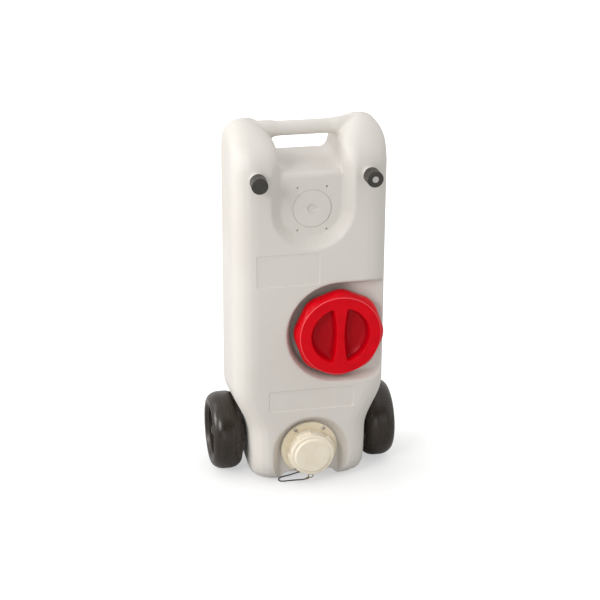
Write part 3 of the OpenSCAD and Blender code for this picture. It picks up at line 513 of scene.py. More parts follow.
def spun(bm, profile, steps, closed=False):
    """Spins an outline of radius and height round the local Z axis; gives the vertices it made."""
    known = set(bm.verts)
    line = [bm.verts.new((point[0], 0.0, point[1])) for point in profile]
    ends = line[1:] + line[:1] if closed else line[1:]
    edges = [bm.edges.new(pair) for pair in zip(line, ends)]
    bmesh.ops.spin(bm, geom=line + edges, cent=(0, 0, 0), axis=(0, 0, 1), dvec=(0, 0, 0), angle=math.tau,
                   steps=steps, use_merge=True, use_normal_flip=False, use_duplicate=False)
    made = [v for v in bm.verts if v not in known]
    bmesh.ops.remove_doubles(bm, verts=made, dist=MERGE)
    return [v for v in bm.verts if v not in known]


def loop_of(bm, points):
    """A closed loop of vertices and edges through some points."""
    verts = [bm.verts.new(point) for point in points]
    for pair in zip(verts, verts[1:] + verts[:1]):
        bm.edges.new(pair)
    return verts


def edges_of(bm, loop):
    """The edges of a closed loop of vertices."""
    return [bm.edges.get(pair) for pair in zip(loop, loop[1:] + loop[:1])]


def drawn_on(bm, loop, points):
    """Extrudes a closed loop to new points, one for each vertex, and gives the new loop."""
    made = bmesh.ops.extrude_edge_only(bm, edges=edges_of(bm, loop))
    new = {v for v in made["geom"] if isinstance(v, bmesh.types.BMVert)}
    moved = [next(e.other_vert(v) for e in v.link_edges if e.other_vert(v) in new) for v in loop]
    for vert, point in zip(moved, points):
        vert.co = point
    return moved


def filled(bm, *loops):
    """Fills the flat area between loops; a loop inside another is a hole."""
    edges = [edge for loop in loops for edge in edges_of(bm, loop)]
    bmesh.ops.triangle_fill(bm, edges=edges, use_beauty=True, use_dissolve=False, normal=(0, 0, 1))


def soft_least(a, b, blend):
    """The lesser of two values, with a rounded change from one to the other."""
    mix = max(blend - abs(a - b), 0.0) / blend
    return min(a, b) - mix * mix * blend / 4


def placed(name, bm):
    """An object in the scene, made of a finished bmesh."""
    mesh = bpy.data.meshes.new(name)
    bm.to_mesh(mesh)
    bm.free()
    made = bpy.data.objects.new(name, mesh)
    bpy.context.scene.collection.objects.link(made)
    return made


def surfaced(mesh, material, sharp):
    """Gives a mesh its one material and smooth faces; edges stay sharp from an angle on."""
    mesh.materials.clear()
    mesh.materials.append(material)
    mesh.polygons.foreach_set("material_index", [0] * len(mesh.polygons))
    mesh.polygons.foreach_set("use_smooth", [True] * len(mesh.polygons))
    mesh.set_sharp_from_angle(angle=math.radians(sharp))


def modified(made, name, kind, **settings):
    """Adds a modifier with its settings."""
    added = made.modifiers.new(name, kind)
    for key, value in settings.items():
        setattr(added, key, value)


def piece(name, bm, place, material, body, nodes=(), sharp=40.0):
    """Makes a piece of a finished bmesh: merged, facing outwards, in its place, riding on a body if given."""
    bmesh.ops.remove_doubles(bm, verts=bm.verts[:], dist=MERGE)
    bmesh.ops.recalc_face_normals(bm, faces=bm.faces[:])
    bmesh.ops.transform(bm, matrix=place, verts=bm.verts[:])
    made = placed(name, bm)
    surfaced(made.data, material, sharp)
    if body is not None:
        modified(made, "flat faces stay flat", "WEIGHTED_NORMAL", keep_sharp=True)
        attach(made, body)
    if nodes:
        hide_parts(*nodes)
    return made


def turned(name, profile, steps, place, material, body, nodes=(), closed=False, sharp=40.0):
    """Makes a piece of one spun outline."""
    bm = bmesh.new()
    spun(bm, profile, steps, closed)
    piece(name, bm, place, material, body, nodes, sharp)


def circle(count):
    """Even turns round a full circle."""
    return [math.tau * k / count for k in range(count)]


def around(radii, turns, height=0.0):
    """Points at some turns round the local Z axis, at one radius or at one for each turn."""
    if not isinstance(radii, list):
        radii = [radii] * len(turns)
    return [(r * math.cos(t), r * math.sin(t), height) for r, t in zip(radii, turns)]


def to_radius(vert, radius):
    """Moves a vertex straight in or out to a distance from the local Z axis."""
    scale = radius / math.hypot(vert.co.x, vert.co.y)
    vert.co.x *= scale
    vert.co.y *= scale


def quarter(axis):
    """A quarter turn about one axis."""
    return Matrix.Rotation(math.radians(90), 4, axis)


def on_front(x, z):
    """A place on the tank's front face, with its local Z pointing out of the face."""
    return Matrix.Translation((x, Y_FRONT, z)) @ quarter("X")


def on_vent(side):
    """A vent's place, with its local Z along the vent's own axis."""
    way = VENT_WAYS[side]
    return (Matrix.Translation(VENTS[side]) @ Matrix.Rotation(math.atan2(way.x, -way.y), 4, "Z")
            @ quarter("X"))


def on_axle(side):
    """The axle's middle, with its local Z pointing out to one side."""
    return (Matrix.Translation((0.0, AXLE.y, AXLE.z))
            @ Matrix.Rotation(math.radians(90) * MIRROR[side], 4, "Y"))


def ring_outline(inner, outer, low, high, size):
    """The section of a ring with rounded corners."""
    return rounded([(inner, low, size), (outer, low, size), (outer, high, size), (inner, high, size)], True)


def area_light(name, spot, aim, size, power):
    """One soft lamp that looks at a point."""
    data = bpy.data.lights.new(name, "AREA")
    data.shape = "SQUARE"
    data.size = size
    data.energy = power
    lamp = bpy.data.objects.new(name, data)
    lamp.location = spot
    lamp.rotation_euler = (Vector(aim) - Vector(spot)).to_track_quat("-Z", "Y").to_euler()
    bpy.context.scene.collection.objects.link(lamp)


def make_stage():
    """Camera at the photograph's angle, soft lamps, white surroundings and a pale floor."""
    scene = bpy.context.scene
    sizes = scene.tote_stage
    scene.view_settings.view_transform = "Standard"
    aim = Vector((0.0, Y_FRONT + sizes.aim_depth, sizes.aim_height))
    level = math.cos(sizes.rise)
    way = Vector((math.sin(sizes.turn) * level, -math.cos(sizes.turn) * level, math.sin(sizes.rise)))
    data = bpy.data.cameras.new("camera")
    data.lens = sizes.lens
    data.sensor_width = 36.0
    data.shift_x = sizes.shift
    camera = bpy.data.objects.new("camera", data)
    camera.location = aim + sizes.distance * way
    upright = (-way).to_track_quat("-Z", "Y").to_matrix().to_4x4()
    camera.rotation_euler = (upright @ Matrix.Rotation(sizes.roll, 4, "Z")).to_euler()
    scene.collection.objects.link(camera)
    scene.camera = camera

    area_light("key_light", (-3.0, -3.0, 2.8), aim, 1.5, 68.0)
    area_light("side_light", (-3.0, 0.1, 1.3), aim, 1.2, 32.0)
    area_light("back_light", (-2.4, 1.2, 2.4), aim, 1.6, 9.0)
    area_light("fill_light", (1.4, -3.2, 1.0), aim, 1.6, 7.0)
    area_light("low_light", (-0.6, -3.0, 0.4), (0.0, Y_FRONT, 0.05), 1.6, 9.5)

    world = bpy.data.worlds.new("white_surroundings")
    scene.world = world
    world.use_nodes = True
    tree = world.node_tree
    tree.nodes.clear()
    # The room is dimmer on the camera's side, so that hollows in the front stay dark
    back = axes(tree, add(tree, "TexCoord").outputs["Generated"])["Y"]
    soft = ramp(tree, back, -0.95, -0.3, 0.26, 1.0, "SMOOTHSTEP")
    shiny = ramp(tree, back, -0.95, -0.3, 0.08, 0.9, "SMOOTHSTEP")
    path = add(tree, "LightPath").outputs
    room = ramp(tree, path["Is Glossy Ray"], 0.0, 1.0, soft, shiny)
    seen = ramp(tree, path["Is Camera Ray"], 0.0, 1.0, room, 1.0)
    sky = add(tree, "Background", {"Color": WHITE, "Strength": seen})
    add(tree, "OutputWorld", {"Surface": sky.outputs[0]})

    # A floor of matt studio paper that grows whiter away from the tote
    bm = bmesh.new()
    bmesh.ops.create_grid(bm, x_segments=2, y_segments=2, size=9.0)
    floor = placed("floor", bm)
    material, tree, shader, place = finish_of("matt_studio_paper", 0.9, Base_Color=sizes.floor,
                                              Specular_IOR_Level=0.1, Emission_Color=WHITE)
    away = add(tree, "VectorMath", {0: place}, operation="LENGTH").outputs["Value"]
    white = ramp(tree, away, 0.2, 1.0, 0.5, 1.0)
    lift = calc(tree, "MULTIPLY", add(tree, "LightPath").outputs["Is Camera Ray"], white)
    tree.links.new(lift, shader.inputs["Emission Strength"])
    floor.data.materials.append(material)


def smooth_route(points, parts):
    """A smooth line through some points, cut into a few parts between each two."""
    line = []
    count = len(points)
    for i in range(count - 1):
        a = points[max(i - 1, 0)]
        b = points[i]
        c = points[i + 1]
        d = points[min(i + 2, count - 1)]
        for k in range(parts):
            t = k / parts
            line.append(0.5 * ((2 * b) + (c - a) * t + (2 * a - 5 * b + 4 * c - d) * t * t
                               + (3 * b - a - 3 * c + d) * t * t * t))
    return line + [points[-1]]


def swept(bm, line, radius, sides):
    """Extrudes a circle along a line and lays a UV map on it: turns round, metres along."""
    ways = [(line[min(i + 1, len(line) - 1)] - line[max(i - 1, 0)]).normalized() for i in range(len(line))]
    turn = Vector((0, 0, 1)).rotation_difference(ways[0]).to_matrix()
    spokes = [turn @ Vector(point) for point in around(radius, circle(sides))]
    loop = loop_of(bm, [line[0] + spoke for spoke in spokes])
    spot = {vert: (k, 0.0) for k, vert in enumerate(loop)}
    bmesh.ops.contextual_create(bm, geom=loop)
    run = 0.0
    for i in range(1, len(line)):
        bend = ways[i - 1].rotation_difference(ways[i]).to_matrix()
        spokes = [bend @ spoke for spoke in spokes]
        run += (line[i] - line[i - 1]).length
        loop = drawn_on(bm, loop, [line[i] + spoke for spoke in spokes])
        spot.update({vert: (k, run) for k, vert in enumerate(loop)})
    bmesh.ops.contextual_create(bm, geom=loop)
    layer = bm.loops.layers.uv.new("UVMap")
    for face in bm.faces:
        turns = [spot[corner.vert][0] for corner in face.loops]
        wraps = len(turns) == 4 and max(turns) - min(turns) > 1
        for corner in face.loops:
            k, along = spot[corner.vert]
            corner[layer].uv = ((k + sides if wraps and k == 0 else k) / sides, along)


def crimp(half, run, start, narrow, waist, size):
    """The outline of a crimped tube: full at both ends, and pinched between two parts of its run."""
    return rounded([(0, 0, 0), (half, 0, size), (half, start * run, size), (waist * half, narrow * run, size),
                    (waist * half, (1 - narrow) * run, size), (half, (1 - start) * run, size),
                    (half, run, size + 0.0003), (0, run, 0)])


def make_tether():
    """The cord in two runs that meet on the floor, its stop, its brass sleeve and its ring."""
    sizes = bpy.context.scene.tote_tether
    cord = shared(braided_polyester)
    brass = shared(drawn_brass)
    rubber = shared(moulded_rubber)
    points = [Vector((x, y + Y_FRONT, z)) for x, y, z in TETHER_ROUTE]
    runs = (
        ("tether_cord_flange_run", points[:TETHER_TURN + 1], "tank", "drain_seal", 0),
        ("tether_cord_cap_run", points[TETHER_TURN:], "drain_seal", "drain_cap", TETHER_LIFT),
    )
    for name, run, held_by, leads_to, lift in runs:
        line = smooth_route(run, 4)
        bm = bmesh.new()
        swept(bm, line, sizes.diameter / 2, 16)
        made = piece(name, bm, Matrix.Identity(4), cord, None, ("tether_cord",))
        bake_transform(made)

    half = sizes.crimp / 2
    low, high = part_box("tether_stop")
    place = Matrix.Translation((low[0], (low[1] + high[1]) / 2, (low[2] + high[2]) / 2)) @ quarter("Y")
    turned("tether_stop_crimp", crimp(half, high[0] - low[0], 0.3, 0.36, 0.82, 0.0006), 32, place, rubber,
           "tank", ("tether_stop",))

    way = (points[-1] - points[-2]).normalized()
    place = Matrix.Translation(points[-1]) @ Vector((0, 0, 1)).rotation_difference(way).to_matrix().to_4x4()
    turned("tether_sleeve_crimp", crimp(half, sizes.sleeve, 0.26, 0.34, 0.8, 0.0005), 32, place, brass,
           "drain_cap", ("tether_sleeve",))

    low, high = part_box("tether_ring")
    wire = [(sizes.ring_radius + x, y) for x, y, _ in around(sizes.wire / 2, circle(20))]
    place = Matrix.Translation([(a + b) / 2 for a, b in zip(low, high)]) @ quarter("X")
    turned("tether_ring_wire", wire, 64, place, brass, "drain_cap", ("tether_ring",), True)


def plates_of(sizes):
    """Sideways place, height, width and height of the two bare plates' middles."""
    return ((sizes.plate_x, sizes.plate_z, sizes.plate_width, sizes.plate_height),
            (0.0, sizes.low_plate_z, sizes.low_plate_width, sizes.low_plate_height))


def shut_copy(sizes):
    """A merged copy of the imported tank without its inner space: each bore ends in a short blind hole."""
    bm = bmesh.new()
    bm.from_mesh(frame["nodes"]["tank_shell"].data)
    bmesh.ops.remove_doubles(bm, verts=bm.verts[:], dist=1e-5)
    bores = [(INLET, Vector((0, 1, 0)), sizes.neck_bore), (DRAIN, Vector((0, 1, 0)), sizes.drain_hole)]
    bores += [(VENTS[side], VENT_WAYS[side], sizes.vent_bore) for side in MIRROR]
    walls = []
    for face in bm.faces:
        for at, way, radius in bores:
            if all(abs((v.co - at).cross(way).length - radius) < 4e-4 for v in face.verts):
                walls.append(face)
                break
    bmesh.ops.delete(bm, geom=walls, context="FACES")
    # The outer skin is the island that holds the lowest point
    start = min(bm.verts, key=lambda v: v.co.z)
    skin = {start}
    front = [start]
    while front:
        vert = front.pop()
        for edge in vert.link_edges:
            other = edge.other_vert(vert)
            if other not in skin:
                skin.add(other)
                front.append(other)
    bmesh.ops.delete(bm, geom=[v for v in bm.verts if v not in skin], context="VERTS")
    rims = [edge for edge in bm.edges if edge.is_boundary]
    made = bmesh.ops.extrude_edge_only(bm, edges=rims)["geom"]
    ends = [v for v in made if isinstance(v, bmesh.types.BMVert)]
    bmesh.ops.translate(bm, vec=(0.0, sizes.blind_depth, 0.0), verts=ends)
    bmesh.ops.holes_fill(bm, edges=[e for e in bm.edges if e.is_boundary], sides=0)
    # The shallow marks are taken out here and cut again, crisp, after the softening
    margin = 7e-3
    for vert in bm.verts:
        deep = vert.co.y - Y_FRONT
        if abs(deep - sizes.mark_depth) < 1e-4:
            if any(abs(vert.co.x - x) < wide / 2 + margin and abs(vert.co.z - z) < high / 2 + margin
                   for x, z, wide, high in plates_of(sizes)):
                vert.co.y = Y_FRONT
        elif abs(abs(deep - sizes.recess_depth) - sizes.mark_depth) < 1e-4:
            if math.hypot(vert.co.x, vert.co.z - sizes.recess_z) < sizes.marks_reach:
                vert.co.y = Y_FRONT + sizes.recess_depth
    bmesh.ops.recalc_face_normals(bm, faces=bm.faces[:])
    return bm


def worked(made):
    """The object's mesh with its modifiers worked in."""
    bpy.context.view_layer.update()
    mesh = bpy.data.meshes.new_from_object(made.evaluated_get(bpy.context.evaluated_depsgraph_get()))
    made.modifiers.clear()
    old = made.data
    made.data = mesh
    bpy.data.meshes.remove(old)
    return mesh


def eased(values, none, full):
    """A smooth step: 0 where values are at none or beyond it, 1 at full or beyond it."""
    part = np.clip((values - none) / (full - none), 0, 1)
    return part * part * (3 - 2 * part)


def softness(mesh, sizes):
    """How far each point of the tank's skin may be softened: less in recesses, little on the necks."""
    places = np.empty(len(mesh.vertices) * 3)
    mesh.vertices.foreach_get("co", places)
    places = places.reshape(-1, 3)
    off = np.hypot(places[:, 0] - INLET.x, places[:, 2] - INLET.z)
    deep = places[:, 1] - Y_FRONT
    # The upper recess ends at the shelf under the bar; the pocket is round; both end before the tank's sides
    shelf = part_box("tank_shell")[1][2] - 0.085
    upper = eased(np.abs(places[:, 0]), 0.116, 0.108) * eased(places[:, 2], shelf + 0.012, shelf - 0.012)
    pocket = eased(off, 0.130, 0.120)
    recess = np.maximum(upper, pocket) * eased(deep, 0.044, 0.030)
    # The recesses' floors stay crisper than their outer edges
    least = 0.13 - 0.10 * eased(deep, 0.009, 0.015)
    free = 1 + (least - 1) * recess
    free[(off < sizes.neck_radius + 0.003) & (deep < sizes.pocket_depth - 0.003)] = NECK_SOFTNESS
    for side in MIRROR:
        rel = places - np.array(VENTS[side])
        way = np.array(VENT_WAYS[side])
        along = rel @ way
        away = np.linalg.norm(rel - along[:, None] * way, axis=1)
        free[(away < 0.0225) & (along > 0.002)] = NECK_SOFTNESS
    return free


def rounded_plate(bm, x, z, width, height, low, high):
    """A cutter for a sunk plate on the front: a rounded rectangle whose wall slopes out to the face."""
    size = 0.002
    loops = []
    for depth in (low, high):
        corner = size + 0.7 * (depth - low)
        points = []
        for cx, cz, start in ((1, 1, 0), (-1, 1, 90), (-1, -1, 180), (1, -1, 270)):
            arc = around(corner, [math.radians(start + 22.5 * k) for k in range(5)], depth)
            points += [(x + cx * (width / 2 - size) + px, z + cz * (height / 2 - size) + pz, depth)
                       for px, pz, _ in arc]
        loops.append(points)
    loop = loop_of(bm, loops[0])
    filled(bm, loop)
    filled(bm, drawn_on(bm, loop, loops[1]))


def make_tank():
    """The blow-moulded tank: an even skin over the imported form, soft edges, crisp plates and a disc."""
    sizes = bpy.context.scene.tote_tank
    plastic = shared(blow_moulded_polyethylene)
    disc = sizes.disc_radius
    dimple = sizes.dimple_radius
    tank = placed("tank_skin", shut_copy(sizes))
    modified(tank, "even skin", "REMESH", mode="VOXEL", voxel_size=sizes.skin)
    mesh = worked(tank)
    free = softness(mesh, sizes)
    group = tank.vertex_groups.new(name="softness")
    for level in np.unique(free):
        group.add([int(i) for i in np.nonzero(free == level)[0]], float(level), "REPLACE")
    modified(tank, "no steps", "SMOOTH", factor=0.5, iterations=3)
    modified(tank, "soft edges", "SMOOTH", factor=0.5, iterations=sizes.softening, vertex_group="softness")
    modified(tank, "fewer faces", "DECIMATE", ratio=min(1.0, sizes.faces / max(1, 2 * len(mesh.polygons))))
    worked(tank)

    # The two plates, a fine groove round the disc, the disc's dimple and the four pilot holes
    bm = bmesh.new()
    for plate in plates_of(sizes):
        rounded_plate(bm, *plate, -sizes.plate_depth, CUT_OUT)
    marks = spun(bm, ring_outline(disc - 0.001, disc + 0.0011, -0.0007, CUT_OUT, 0.0), 96, True)
    marks += spun(bm, [(0, -0.0014), (dimple - 0.0012, -0.0014), (dimple + 0.0002, CUT_OUT),
                       (0, CUT_OUT)], 64)
    for sx, sz in CORNERS:
        hole = spun(bm, [(0, -0.004), (0.0019, -0.004), (0.0024, CUT_OUT), (0, CUT_OUT)], 24)
        bmesh.ops.translate(bm, verts=hole, vec=(sx * sizes.pilot_x, sz * sizes.pilot_z, 0.0))
        marks += hole
    bmesh.ops.translate(bm, verts=marks, vec=(sizes.disc_x, sizes.disc_z, -sizes.recess_depth))
    bmesh.ops.recalc_face_normals(bm, faces=bm.faces[:])
    bmesh.ops.transform(bm, matrix=on_front(0.0, 0.0), verts=bm.verts[:])
    cutter = placed("plate_cutter", bm)
    modified(tank, "sunk plates", "BOOLEAN", operation="DIFFERENCE", solver="EXACT", object=cutter)
    mesh = worked(tank)
    bpy.data.objects.remove(cutter)
    surfaced(mesh, plastic, 35.0)
    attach(tank, "tank")
    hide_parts("tank_shell")

    low = -sizes.recess_depth - 0.003
    top = -sizes.recess_depth + sizes.plate_depth
    raised = rounded([(dimple - 0.001, low, 0), (disc, low, 0), (disc - 0.0003, top, 0.0005),
                      (dimple + 0.0005, top, 0.0005), (dimple - 0.001, low, 0)])
    turned("recess_disc", raised, 96, on_front(sizes.disc_x, sizes.disc_z), plastic, "tank")


def make_cap():
    """The inlet's screw cap: flat face, two wells beside an hourglass grip, lobed skirt; and its seal."""
    sizes = bpy.context.scene.tote_cap
    tank = bpy.context.scene.tote_tank
    plastic = shared(red_polypropylene)
    rubber = shared(moulded_rubber)
    place = on_front(INLET.x, INLET.z)
    foot, face = out_of_front("inlet_cap")
    depth = face - foot
    turns = circle(192)
    well_middle = 0.041
    beyond = 0.07
    corner = 0.004

    def lobes(turn):
        """Radius of the skirt's outline: round lobes at each eighth of a turn, flats between them."""
        eighth = math.pi / 8
        off = abs((turn + sizes.lobe_turn + eighth) % (2 * eighth) - eighth)
        middle = (sizes.skirt_radius - sizes.lobe_round) / math.cos(eighth)
        change = math.atan2(sizes.lobe_round * math.sin(eighth), middle + sizes.lobe_round * math.cos(eighth))
        if off > change:
            return sizes.skirt_radius / math.cos(eighth - off)
        return middle * math.cos(off) + math.sqrt(sizes.lobe_round ** 2 - (middle * math.sin(off)) ** 2)

    def well_edge(side, turn, inset):
        """A point of a well's edge, seen from the well's middle, set in by some distance."""
        middle = Vector((side * well_middle, 0.0))
        way = Vector((side * math.cos(turn), math.sin(turn)))
        # Halving finds the edge between the well's middle and a point beyond it
        near, far = 0.0, beyond
        for _ in range(30):
            mid = (near + far) / 2
            at = middle + mid * way
            spread = min(abs(at.y) / sizes.well_radius, 1.0)
            grip = sizes.grip_waist / 2 + (sizes.grip_end - sizes.grip_waist) / 2 * spread * spread
            room = soft_least(sizes.well_radius - at.length, 0.8 * (side * at.x - grip), corner)
            if room > inset:
                near = mid
            else:
                far = mid
        return middle + near * way

    bm = bmesh.new()
    rim_round = 0.0014
    rim = loop_of(bm, around(sizes.face_radius - rim_round, turns, face))
    # Inset and depth of the well's wall: a round lip, a slight draft, a round corner and the floor
    floor = sizes.well_depth
    arc = [math.radians(22.5 * k) for k in range(5)]
    drops = [(sizes.lip * math.sin(a), sizes.lip * (1 - math.cos(a))) for a in arc]
    arc = [math.radians(15 * k) for k in range(7)]
    draft = 0.0012
    drops += [(sizes.lip + draft + sizes.bowl * (1 - math.cos(a)),
               floor - sizes.bowl + sizes.bowl * math.sin(a)) for a in arc]
    wells = []
    for side in (-1, 1):
        edge = [[well_edge(side, turn, inset) for turn in circle(120)] for inset, _ in drops]
        wells.append((loop_of(bm, [(p.x, p.y, face) for p in edge[0]]), edge))
    filled(bm, rim, *[loop for loop, _ in wells])
    for loop, edge in wells:
        for (_, drop), points in zip(drops[1:], edge[1:]):
            loop = drawn_on(bm, loop, [(p.x, p.y, face - drop) for p in points])
        filled(bm, loop)
    # Radius and drop of each line down the outside: the rim's round edge first
    lines = []
    for a in map(math.radians, (30, 60, 90)):
        lines.append((sizes.face_radius - rim_round * (1 - math.sin(a)), rim_round * (1 - math.cos(a))))
    # Then the shoulder that spreads from a circle to eight lobes
    outline = [lobes(t) for t in turns]
    steep = math.radians(55)
    start = 0.0018
    for k in range(9, -1, -1):
        a = steep * k / 10
        drop = start + (sizes.shoulder - start) * (1 - math.sin(a) / math.sin(steep))
        part = (math.cos(a) - math.cos(steep)) / (1 - math.cos(steep))
        lines.append(([sizes.face_radius + (r - sizes.face_radius) * part for r in outline], drop))
    # Then the skirt down to its foot, and the hollow under the cap
    for drop, inset in ((0.8 * depth, 0.0), (depth - 0.001, 0.0), (depth - 0.0003, 0.0003), (depth, 0.001)):
        lines.append(([r - inset for r in outline], drop))
    inner = tank.neck_radius + SLIDE
    under = sizes.well_radius + sizes.well_wall
    lines += [(inner, depth), (inner, sizes.top), (under, sizes.top), (under, floor + sizes.well_wall)]
    loop = rim
    for radii, drop in lines:
        loop = drawn_on(bm, loop, around(radii, turns, face - drop))
    filled(bm, loop)
    # The nub that the mould's gate leaves in the middle of the grip
    nub = rounded([(0.0019, face - 0.0004, 0), (0.0016, face + 0.0004, 0.0004), (0, face + 0.0004, 0)])
    spun(bm, nub, 24)
    piece("inlet_cap_moulding", bm, place, plastic, "inlet_cap", ("inlet_cap",), 32.0)

    low, high = out_of_front("inlet_seal")
    outline = ring_outline(tank.neck_bore + FIT, tank.neck_radius - FIT, low, high, 0.0008)
    turned("inlet_seal_ring", outline, 128, place, rubber, "inlet_seal", ("inlet_seal",), True)


def tab(bm, place, reach, half, thick, hole):
    """A small tab with a round end and a hole across it; its root runs along local X."""
    known = set(bm.verts)
    end = around(half, [math.radians(a) for a in range(90, 271, 15)])
    outer = loop_of(bm, end + [(reach, -half, 0.0), (reach, half, 0.0)])
    inner = loop_of(bm, around(hole, [math.radians(a) for a in range(0, 360, 15)]))
    before = set(bm.faces)
    filled(bm, outer, inner)
    flat = [f for f in bm.faces if f not in before]
    raised = bmesh.ops.extrude_face_region(bm, geom=flat)["geom"]
    bmesh.ops.translate(bm, vec=(0, 0, thick), verts=[v for v in raised if isinstance(v, bmesh.types.BMVert)])
    bmesh.ops.recalc_face_normals(bm, faces=[f for f in bm.faces if f not in before])
    made = [v for v in bm.verts if v not in known]
    bmesh.ops.transform(bm, matrix=place @ Matrix.Translation((0, 0, -thick / 2)), verts=made)


def screw_head(bm, place, sizes):
    """A pan-head screw with a cross in its head."""
    known = set(bm.verts)
    half = sizes.screw_head / 2
    shank = sizes.screw_shank / 2
    rise = sizes.screw_rise
    tip = -0.016
    made = spun(bm, rounded([(0, tip, 0), (shank, tip, 0.0008), (shank, 0, 0), (half, 0, 0.0002),
                             (half, 0.45 * rise, 0.001), (0.9 * half, 0.8 * rise, 0.001),
                             (0.62 * half, rise, 0)]), 32)
    ring = sorted([v for v in made if v.is_boundary], key=lambda v: math.atan2(v.co.y, v.co.x))
    arm = 0.42 * half
    slim = 0.11 * half
    cross = [(arm, -slim), (arm, slim), (slim, slim), (slim, arm), (-slim, arm), (-slim, slim), (-arm, slim),
             (-arm, -slim), (-slim, -slim), (-slim, -arm), (slim, -arm), (slim, -slim)]
    loop = loop_of(bm, [(x, y, rise) for x, y in cross])
    filled(bm, ring, loop)
    filled(bm, drawn_on(bm, loop, [(0.7 * x, 0.7 * y, 0.35 * rise) for x, y in cross]))
    bmesh.ops.transform(bm, matrix=place, verts=[v for v in bm.verts if v not in known])


def make_drain():
    """The drain's flange with its spigot, lugs and eye, its gasket and its four screws."""
    sizes = bpy.context.scene.tote_drain
    plastic = shared(injected_polypropylene, "buff_polypropylene", sizes.flange_colour,
                     sizes.flange_shade, 0.36)
    rubber = shared(moulded_rubber)
    steel = shared(zinc_plated_steel)
    place = on_front(DRAIN.x, DRAIN.z)
    bore = sizes.bore_radius
    spigot = sizes.spigot_radius
    wide = half_height("drain_flange")
    low, back = out_of_front("drain_gasket")
    outline = ring_outline(bore + 0.0032, wide - 0.001, low, back, 0.0004)
    turned("drain_gasket_ring", outline, 96, place, rubber, "tank", ("drain_gasket",), True)

    foot, top = out_of_front("drain_flange")
    face = back + sizes.flange_thick
    bm = bmesh.new()
    outline = rounded([
        (bore, foot, 0.0005), (spigot - 0.0015, foot, 0.0008), (spigot - 0.0015, back, 0),
        (wide, back, 0.0008), (wide, face, 0.0022), (spigot + 0.0016, face, 0.0018),
        (spigot, face + 0.003, 0.001), (spigot, top - 0.0035, 0), (spigot, top - 0.0028, 0),
        (spigot, top, 0.0008), (bore, top, 0.0008)], True)
    spun(bm, outline, 120, True)
    # Four lugs that hold the bayonet cap
    lug = out_of_front("drain_cap")[0] + 0.004
    for k in range(4):
        middle = sizes.lug_turn + k * math.pi / 2
        arc = [middle - sizes.lug_span / 2 + sizes.lug_span * i / 6 for i in range(7)]
        outline = around(sizes.lug_radius, arc, lug) + around(spigot - 0.001, arc[::-1], lug)
        loop = loop_of(bm, outline)
        filled(bm, loop)
        filled(bm, drawn_on(bm, loop, [(x, y, z + sizes.lug_height) for x, y, z in outline]))
    # The eye that the cord starts from
    x, y, z = TETHER_ROUTE[0]
    at = Matrix.Translation((x + sizes.eye_thick / 2, z - DRAIN.z, -y))
    tab(bm, at @ quarter("Y"), -face - y + 0.001, sizes.eye_radius, sizes.eye_thick, 0.00155)
    piece("drain_flange_moulding", bm, place, plastic, "tank", ("drain_flange",))

    # Four screws, each left at its own turn
    bm = bmesh.new()
    for sx, sz in CORNERS:
        spot = (sx * sizes.screw_radius * math.cos(sizes.screw_turn),
                sz * sizes.screw_radius * math.sin(sizes.screw_turn), face)
        screw_head(bm, Matrix.Translation(spot) @ Matrix.Rotation(0.4 * sx + 0.9 * sz, 4, "Z"), sizes)
    piece("drain_screws_pan_head", bm, place, steel, "tank", ("drain_screws",))


def make_drain_cap():
    """The drain's bayonet cap: raised round face, soft rim, four ears and an eye; and its seal."""
    sizes = bpy.context.scene.tote_drain
    plastic = shared(injected_polypropylene, "beige_polypropylene", sizes.cap_colour, sizes.cap_shade, 0.34)
    rubber = shared(moulded_rubber)
    place = on_front(DRAIN.x, DRAIN.z)
    foot, face = out_of_front("drain_cap")
    shoulder = face - sizes.step
    inner = sizes.spigot_radius + SLIDE
    wide = sizes.cap_radius
    raised = sizes.face_radius
    ear_top = foot + sizes.ear_height
    wall = 0.004
    bm = bmesh.new()
    profile = rounded([
        (0, face - 0.0006, 0), (0.006, face, 0.02), (raised + 0.0015, face, 0.0032),
        (raised + 0.0042, shoulder, 0.0026), (wide, shoulder, sizes.rim), (wide, ear_top + 0.0006, 0),
        (wide, ear_top - 0.0002, 0), (wide, ear_top - 0.0012, 0), (wide, foot + 0.001, 0), (wide, foot, 0),
        (inner, foot, 0.0004), (inner, shoulder - wall, 0.0006), (raised, shoulder - wall, 0),
        (raised, face - wall, 0.001), (0, face - wall, 0)])
    steps = 240
    # Ears: part of the skirt's outer wall is drawn out to the ears' reach
    spare = math.tau / steps
    for vert in spun(bm, profile, steps):
        radius = math.hypot(vert.co.x, vert.co.y)
        if abs(radius - wide) < 1e-5 and vert.co.z < ear_top + 0.0001:
            turn = math.atan2(vert.co.y, vert.co.x) % (math.pi / 2)
            inside = min(turn, sizes.ear_span - turn)
            rise = min(max((inside + 0.5 * spare) / (2 * spare), 0.0), 1.0)
            soft = 0.0008 if vert.co.z > ear_top - 0.0008 or vert.co.z < foot + 0.0005 else 0.0
            to_radius(vert, radius + (sizes.ear_radius - soft - radius) * rise)
    # The eye that the brass ring hangs in
    low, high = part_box("tether_ring")
    eye_z = high[2] - bpy.context.scene.tote_tether.wire / 2
    at = Matrix.Translation((0.0, eye_z - DRAIN.z, Y_FRONT - (low[1] + high[1]) / 2))
    drop = DRAIN.z - wide - eye_z + 0.001
    tab(bm, at @ quarter("Y") @ quarter("Z"), drop, sizes.eye_radius, sizes.eye_thick, 0.0012)
    piece("drain_cap_moulding", bm, place, plastic, "drain_cap", ("drain_cap",), 34.0)

    low, high = out_of_front("drain_seal")
    outline = ring_outline(sizes.bore_radius + 0.0016, sizes.spigot_radius - FIT, low, high, 0.0007)
    turned("drain_seal_ring", outline, 96, place, rubber, "drain_seal", ("drain_seal",), True)


